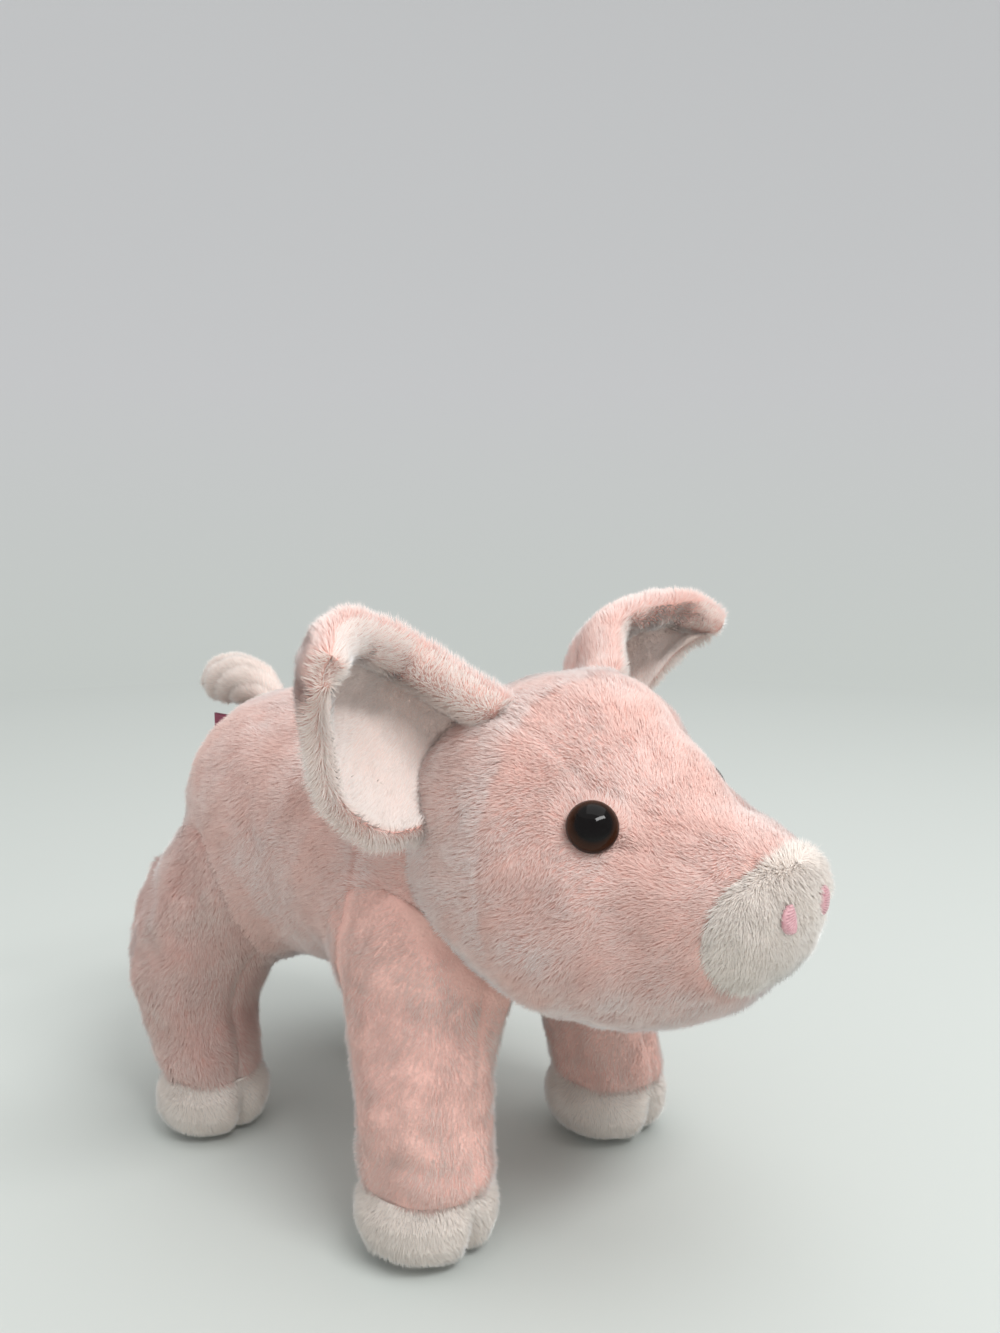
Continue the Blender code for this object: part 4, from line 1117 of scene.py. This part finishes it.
EAR_LINING = lining_material()
LINING_PILE = pile_material("lining_pile", LINING_COLOUR, (0.97, 0.87, 0.82), (0.97, 0.91, 0.87))
RIM_PILE = pile_material("rim_pile", (0.95, 0.78, 0.71), (0.97, 0.87, 0.81), (0.98, 0.92, 0.88))
for seed, (side_name, side) in enumerate(SIDES):
    ear = "ear_" + side_name
    anchor = barrel_points(head, place_at(head, EAR_SHARE), turned_to(side, EAR_TURN))
    bend_line = (tuple(anchor), tuple(anchor + ear_axes(side)[:, 0] * EAR_BEND))

    # Round the section: the cosine goes across, and the sine tells front from back.
    section = full_turn(200)
    along = 1 - 1.16 * (1 - np.linspace(0, 1, 110)[:, None]) ** 1.4
    across, front = np.cos(section), np.sin(section) > 0
    core, roll_height = ear_heights(side, along, across)
    height = np.where(front, core + roll_height, -core - 0.3 * roll_height)
    leaf, slope = ear_leaf(side, along, across, height)
    ear_normals = outward(leaf)
    ear_normals *= np.sign((ear_normals * slope * np.sin(section)[:, None]).sum())
    skin = closed_skin(ear + "_backing", leaf, [PINK_BACKING], leaf[0].mean(0), leaf[-1].mean(0))
    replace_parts(skin, ear + "_plush")
    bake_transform(skin)

    # The lining lies in the hollow, its edges tucked under the rolled rim.
    share = np.linspace(0, 1, 80)
    out = np.linspace(0, 1, 90)[:, None]
    u = -0.10 + (lining_end(share) + 0.10) * out
    v = LINING_LOW + (lining_top(side, u) - LINING_LOW) * share
    core, roll_height = ear_heights(side, u, v)
    edge = np.maximum(np.abs(2 * share - 1), out**2)
    slack = 0.0002 * ripple(ear_middle(side, *np.broadcast_arrays(u, v)), 0.012, 60 + seed)
    lining_height = core + roll_height + LINING_RISE + slack - 0.0012 * edge**10
    face, slope = ear_leaf(side, u, v, lining_height)
    under = ear_leaf(side, u, v, lining_height - 0.0004)[0]
    lining_loop = np.concatenate([face, under[:, ::-1]], 1)
    lining = closed_skin(ear + "_lining_nap", lining_loop, [EAR_LINING],
                         lining_loop[0].mean(0), lining_loop[-1].mean(0))
    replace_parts(lining, ear + "_lining")
    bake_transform(lining)

    # Short nap on the lining's face.
    axes = ear_axes(side)
    shown = np.concatenate([np.stack([1 + 0 * edge, edge], -1) * np.ones((*face.shape[:2], 2)),
                            np.zeros((*face.shape[:2], 2))], 1)
    facing = np.concatenate([slope, -slope[:, ::-1]], 1)
    made, root, normal, seen = sown(150 + seed, lining_loop, facing, shown)
    keep = (seen[:, 0] > 0.99) & (distance_out(head, root) > NO_PILE_BELOW)
    root, normal = root[keep], normal[keep]
    length = NAP_LENGTH * (1 + seen[keep, 1] ** 6)
    plant(ear + "_lining_hairs", ear + "_lining", "ear_lining", LINING_PILE, root, normal,
          axes[:, 1], 0.7, length, made, rides=ear, bend=bend_line)

    # Pile on the back and over both rims, lying towards the tip.
    marks = np.stack(np.broadcast_arrays(along, across, np.where(front, 1.0, 0.0)), -1)
    made, root, normal, place = sown(130 + seed, leaf, ear_normals, marks)
    on_front, v = place[:, 2] > 0.5, place[:, 1]
    top = lining_top(side, place[:, :1])[:, 0]
    height_share = np.clip((v - LINING_LOW) / (top - LINING_LOW), 0, 1)
    covered = on_front & (place[:, 0] < lining_end(height_share) - 0.03)
    covered &= (v > LINING_LOW + 0.05) & (v < top - 0.06)
    keep = ~covered & (distance_out(head, root) > NO_PILE_BELOW)
    root, normal, on_front, v, out = (
        part[keep] for part in (root, normal, on_front, v, place[:, 0]))
    on_rim = on_front | (v < -0.9) | (out > 0.975)
    fringe = np.clip((-v - 0.75) / 0.2, 0, 1)
    edge = np.maximum(np.clip((np.abs(v) - 0.7) / 0.25, 0, 1), np.clip((out - 0.9) / 0.07, 0, 1))
    out_share = np.where(on_front, 0.15, 1.0) * (1 - 0.6 * fringe)
    up_share = np.where(on_front, 1.0, 0.2) * (1 - 2 * fringe)
    nap = axes[:, 0] * out_share[:, None] + axes[:, 1] * up_share[:, None]
    nap = nap - axes[:, 2] * edge[:, None]
    length = HAIR_LENGTH * (np.where(on_front, 0.80, 1.0) + 0.15 * fringe)
    tips = combed(root, normal, nap, 0.95 - 0.35 * edge, length, made)
    normal = unit(normal + 0.7 * edge[:, None] * axes[:, 2])
    for part, material, chosen in (("_pile", PINK_PILE, ~on_rim), ("_rim_pile", RIM_PILE, on_rim)):
        pile(ear + part, ear + "_plush", "pink_plush", material, root[chosen], tips[chosen],
             normal[chosen], made, 0.4 * (v[chosen] > 0.85), ear, bend_line)

# The eyes: glossy safety eyes, dome and post moulded in one, black over a dark
# amber rim. The post goes through the cover into a nylon lock washer, which
# keeps its CAD solid.

EYE_DOME, EYE_SEAT, EYE_STEP, EYES_SUNK = 0.0036, 0.0020, 0.0003, {"right": 0.0010, "left": 0.0021}
POST_RADIUS, POST_LENGTH = 0.0015, 0.0090
EYE_COLOURS = (
    (0.00, 0.004, 0.003, 0.003),
    (0.66, 0.005, 0.004, 0.004),
    (0.80, 0.026, 0.009, 0.004),
    (0.93, 0.040, 0.014, 0.006),
    (1.00, 0.008, 0.005, 0.004),
)


def eye_material():
    """Clear-coated black, with a dark amber ring just inside the rim."""
    made, tree = surface("eye_gloss", 0.06, Specular_IOR_Level=0.17)
    reach = shader_node(tree, "Attribute", "Fac", [("attribute_name", "from_middle")])
    ring = shader_node(tree, "ValToRGB", "Color", (), reach)
    stops = ring.node.color_ramp.elements
    for number, (position, *colour) in enumerate(EYE_COLOURS):
        mark = stops[number] if number < 2 else stops.new(position)
        mark.position, mark.color = position, (*colour, 1)
    return painted(made, ring)


def washer_material():
    """Milky moulded nylon with faint flow marks."""
    made, tree = surface("washer_nylon", 0.42)
    return painted(made, mixed(tree, noise(tree, 300), (0.74, 0.74, 0.71), (0.84, 0.84, 0.82)))


EYE_GLOSS, WASHER_NYLON = eye_material(), washer_material()
for side_name, (place, out) in EYES.items():
    sunk = EYES_SUNK[side_name]
    base = EYE_STEP - EYE_SEAT - sunk
    rise = np.linspace(0, math.pi / 2, 26)[:-1]
    radius = np.array([
        POST_RADIUS * 0.8, POST_RADIUS, POST_RADIUS, EYE_RADIUS * 0.96, EYE_RADIUS,
        *(EYE_RADIUS * np.cos(rise))])
    height = np.array([
        -POST_LENGTH - sunk, 0.0003 - POST_LENGTH - sunk, base, base, base + 0.0002,
        *(base + EYE_RADIUS / 8 + EYE_DOME * np.sin(rise))])
    turn = full_turn(64)
    beside = unit(np.cross(out, (0, 0, 1)))
    above = np.cross(beside, out)
    spokes = beside * np.cos(turn)[:, None] + above * np.sin(turn)[:, None]
    rings = place + radius[:, None, None] * spokes + height[:, None, None] * out
    top = base + EYE_RADIUS / 8 + EYE_DOME
    eye = closed_skin("eye_dome_" + side_name, rings, [EYE_GLOSS],
                      place - out * (POST_LENGTH + sunk), place + out * top)
    share = np.concatenate([np.repeat(radius / EYE_RADIUS, len(turn)), [0, 0]])
    mark = eye.data.attributes.new("from_middle", "FLOAT", "POINT")
    mark.data.foreach_set("value", share.astype(np.float32))
    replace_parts(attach(eye, "pig"), "eye_" + side_name)
    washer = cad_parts[f"eye_{side_name}_washer"]
    for slot in washer.material_slots:
        slot.material = WASHER_NYLON

# The nostrils: two ovals of pink satin stitch, each a low pad under rows of
# thread laid side by side and sunk in the pile of the snout.

NOSTRIL_LENGTH, NOSTRIL_WIDTH, NOSTRIL_TILT = 0.0062, 0.0042, math.radians(20)
NOSTRIL_SHARE, NOSTRIL_TURN = 0.994, math.radians(6)
NOSTRIL_TOP, THREAD_RADIUS, THREADS = -0.0003, 0.00031, 12


def thread_material():
    """Rayon embroidery thread: pink, with a satin gleam and twisted plies."""
    made, tree = surface("nostril_thread", 0.34, Sheen_Weight=0.3)
    return painted(made, mixed(tree, noise(tree, 1400), (0.40, 0.13, 0.17), (0.80, 0.52, 0.54)))


def on_snout(side, x, y, height):
    """Points on the snout at x across and y along a nostril, raised by a height."""
    place, turn = place_at(head, NOSTRIL_SHARE), turned_to(side, NOSTRIL_TURN)
    along, around = (np.linalg.norm(step) for step in steps_of(head, place, turn))
    a = x * math.cos(NOSTRIL_TILT) - y * math.sin(NOSTRIL_TILT)
    b = x * math.sin(NOSTRIL_TILT) + y * math.cos(NOSTRIL_TILT)
    points, normals = point_and_normal(
        head, place + a / along * 2 * STEP, turn + side * b / around * 2 * STEP)
    return points + normals * np.asarray(height)[..., None]


THREAD = thread_material()
for side_name, side in SIDES:
    node = "nostril_" + side_name
    # Threads: each arches over the pad from edge to edge of the oval.
    y = np.linspace(-0.94, 0.94, THREADS)[:, None, None] * NOSTRIL_LENGTH / 2
    half = NOSTRIL_WIDTH / 2 * np.sqrt(1 - (y / (NOSTRIL_LENGTH / 2)) ** 2)
    share = np.linspace(-1, 1, 15)[None, :, None]
    turn = full_turn(8)
    arch = NOSTRIL_TOP - 0.0008 * np.abs(share) ** 4 - 0.0003 * (y / (NOSTRIL_LENGTH / 2)) ** 4
    thin = THREAD_RADIUS * (1 - 0.6 * share**8)
    tubes = on_snout(side, half * share + 0 * turn, y + thin * np.cos(turn),
                     arch + thin * np.sin(turn))
    points, faces = [], []
    for number, tube in enumerate(tubes):
        first = number * tube.shape[0] * tube.shape[1]
        points.append(tube.reshape(-1, 3))
        faces += list(ring_faces(tube.shape[0], tube.shape[1], first))
        faces += [first + np.arange(8)[::-1], first + 14 * 8 + np.arange(8)]
    stitches = mesh_piece(node + "_stitches", np.concatenate(points), faces, [THREAD])
    levels = np.array(((1.0, -0.0011), (1.0, -0.0008), (0.9, -0.0004), (0.6, -0.00025)))[:, :, None]
    turn = full_turn(32)
    pad = on_snout(side, NOSTRIL_WIDTH / 2 * levels[:, 0] * np.cos(turn),
                   NOSTRIL_LENGTH / 2 * levels[:, 0] * np.sin(turn), levels[:, 1] + 0 * turn)
    padding = closed_skin(node + "_padding", pad, [THREAD], pad[0].mean(0), pad[-1].mean(0))
    for piece in (stitches, padding):
        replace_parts(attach(piece, "pig"), node)

# The tail: a fat stub of cream-pink plush, wrung so that its folds wind round
# it, and sewn to the rump.

TAIL_LENGTH, TAIL_DIAMETER, TAIL_LOBES = 0.030, 0.0150, 5
TAIL_RISE, TAIL_DROOP, TAIL_TWIST = math.radians(40), math.radians(-35), math.radians(250)
TAIL_SHARE, TAIL_SINK, TAIL_BACKING_DEPTH = 0.085, 0.005, 0.0013
TAIL_SHARES = ((0.00, 0.70), (0.25, 0.90), (0.50, 1.00), (0.75, 0.96),
               (0.90, 0.80), (0.97, 0.50), (1.00, 0.20))
CREAM_ROOT, CREAM_TIP, CREAM_FROST = (0.92, 0.76, 0.69), (0.96, 0.86, 0.79), (0.97, 0.91, 0.86)


def tail_rings(rows, sides, depth):
    """Rings across a line whose heading falls evenly from its rise to its droop. The
    radius swells in lobes that turn round the tail as it goes."""
    share = np.linspace(0, 1, rows)
    heading = TAIL_RISE + (TAIL_DROOP - TAIL_RISE) * share
    step = TAIL_LENGTH * 0.97 / (rows - 1)
    forward = np.stack([0 * share, np.cos(heading), np.sin(heading)], -1)
    up = np.stack([0 * share, -np.sin(heading), np.cos(heading)], -1)
    root = barrel_points(body, place_at(body, TAIL_SHARE), math.pi / 2)
    start = root - np.array((0, math.cos(TAIL_RISE), math.sin(TAIL_RISE))) * TAIL_SINK
    centre = start + np.concatenate([np.zeros((1, 3)), np.cumsum(forward[:-1] * step, 0)])
    turn = full_turn(sides)
    wound = TAIL_LOBES * (turn - TAIL_TWIST * share[:, None])
    lobe = 1 + 0.03 * np.cos(wound) - 0.045 * np.maximum(-np.cos(wound), 0) ** 4
    lobe = lobe + 0.05 * ripple(centre, 0.011, 48)[:, None]
    radius = (np.interp(share, *zip(*TAIL_SHARES)) * TAIL_DIAMETER / 2)[:, None] * lobe - depth
    across = np.array((1.0, 0, 0)) * np.cos(turn)[:, None] + up[:, None] * np.sin(turn)[:, None]
    rings = centre[:, None] + across * np.maximum(radius, 0.0003)[..., None]
    return rings, outward(rings), root, forward


CREAM_PILE = pile_material("cream_pile", CREAM_ROOT, CREAM_TIP, CREAM_FROST)
rings, normals, tail_root, forward = tail_rings(70, 72, TAIL_BACKING_DEPTH)
tail_bend = (tuple(tail_root), tuple(tail_root + forward[0] * 0.005))
tail_skin = closed_skin("tail_backing", rings, [WHITE_BACKING], rings[0].mean(0), rings[-1].mean(0))
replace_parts(tail_skin, "tail")
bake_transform(tail_skin)
lines = np.broadcast_to(forward[:, None], rings.shape)
made, root, normal, line = sown(140, rings, normals, lines)
keep = distance_out(body, root) > NO_PILE_BELOW
root, normal, line = root[keep], normal[keep], line[keep]
nap = line + 0.6 * np.cross(line, normal)
plant("tail_pile", "tail", "pink_plush", CREAM_PILE, root, normal, nap, 0.95,
      0.75 * HAIR_LENGTH, made, rides="tail", bend=tail_bend)

# The ribbon: a bare woven crimson tab, folded end to end, its ends sewn into the
# rump seam just under the tail.

LABEL_DROP, LABEL_SINK, LABEL_REACH, LABEL_WIDTH = 0.0150, 0.0040, 0.0125, 0.0120
RIBBON, RIBBON_GAP, RIBBON_SAG = 0.0003, 0.0002, 0.0005


def ribbon_material():
    """Satin-woven crimson: fine ribs across the ribbon and faintly uneven dye."""
    made, tree = surface("label_ribbon", 0.45, Sheen_Weight=0.2)
    dye = mixed(tree, noise(tree, 250), (0.20, 0.010, 0.045), (0.38, 0.025, 0.10))
    ribs = shader_node(tree, "TexWave", "Fac", [("wave_type", "BANDS"), ("bands_direction", "Z")],
                       Vector=shader_node(tree, "TexCoord", "Object"), Scale=900, Distortion=0.6)
    return painted(made, dye, ribs, 0.0001)


# The rump's own curve gives the height of the seam below the tail.
rump_places = np.linspace(0, place_at(body, TAIL_SHARE), 400)
rump = barrel_points(body, rump_places, math.pi / 2)
label_root = rump[np.abs(rump[:, 2] - (tail_root[2] - LABEL_DROP)).argmin()]
inner, outer = label_root[1] - LABEL_SINK - RUMP_SLACK, label_root[1] + LABEL_REACH
fold = (RIBBON + RIBBON_GAP) / 2
straight = np.linspace(inner, outer - fold, 40)
curl = np.linspace(0, math.pi, 12)[1:-1]
path_y = np.concatenate([straight, outer - fold + fold * np.sin(curl), straight[::-1]])
path_x = np.concatenate([0 * straight - fold, -fold * np.cos(curl), 0 * straight + fold])
rise = np.linspace(-LABEL_WIDTH / 2, LABEL_WIDTH / 2, 25)[:, None]
shown = np.clip((path_y - label_root[1]) / LABEL_REACH, 0, 1)
path_x = label_root[0] + path_x + RIBBON_SAG * np.sin((path_y - inner) / 0.004) * shown
strip = np.stack(np.broadcast_arrays(path_x, path_y, label_root[2] + rise), -1)
rows, columns = strip.shape[:2]
at = np.arange(rows * columns).reshape(rows, columns)
quads = np.stack([at[:-1, :-1], at[:-1, 1:], at[1:, 1:], at[1:, :-1]], -1).reshape(-1, 4)
label = mesh_piece("label_tab", strip.reshape(-1, 3), quads, [ribbon_material()])
woven = label.modifiers.new("ribbon_thickness", "SOLIDIFY")
woven.thickness, woven.offset = RIBBON, 0
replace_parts(label, "label")
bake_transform(label)
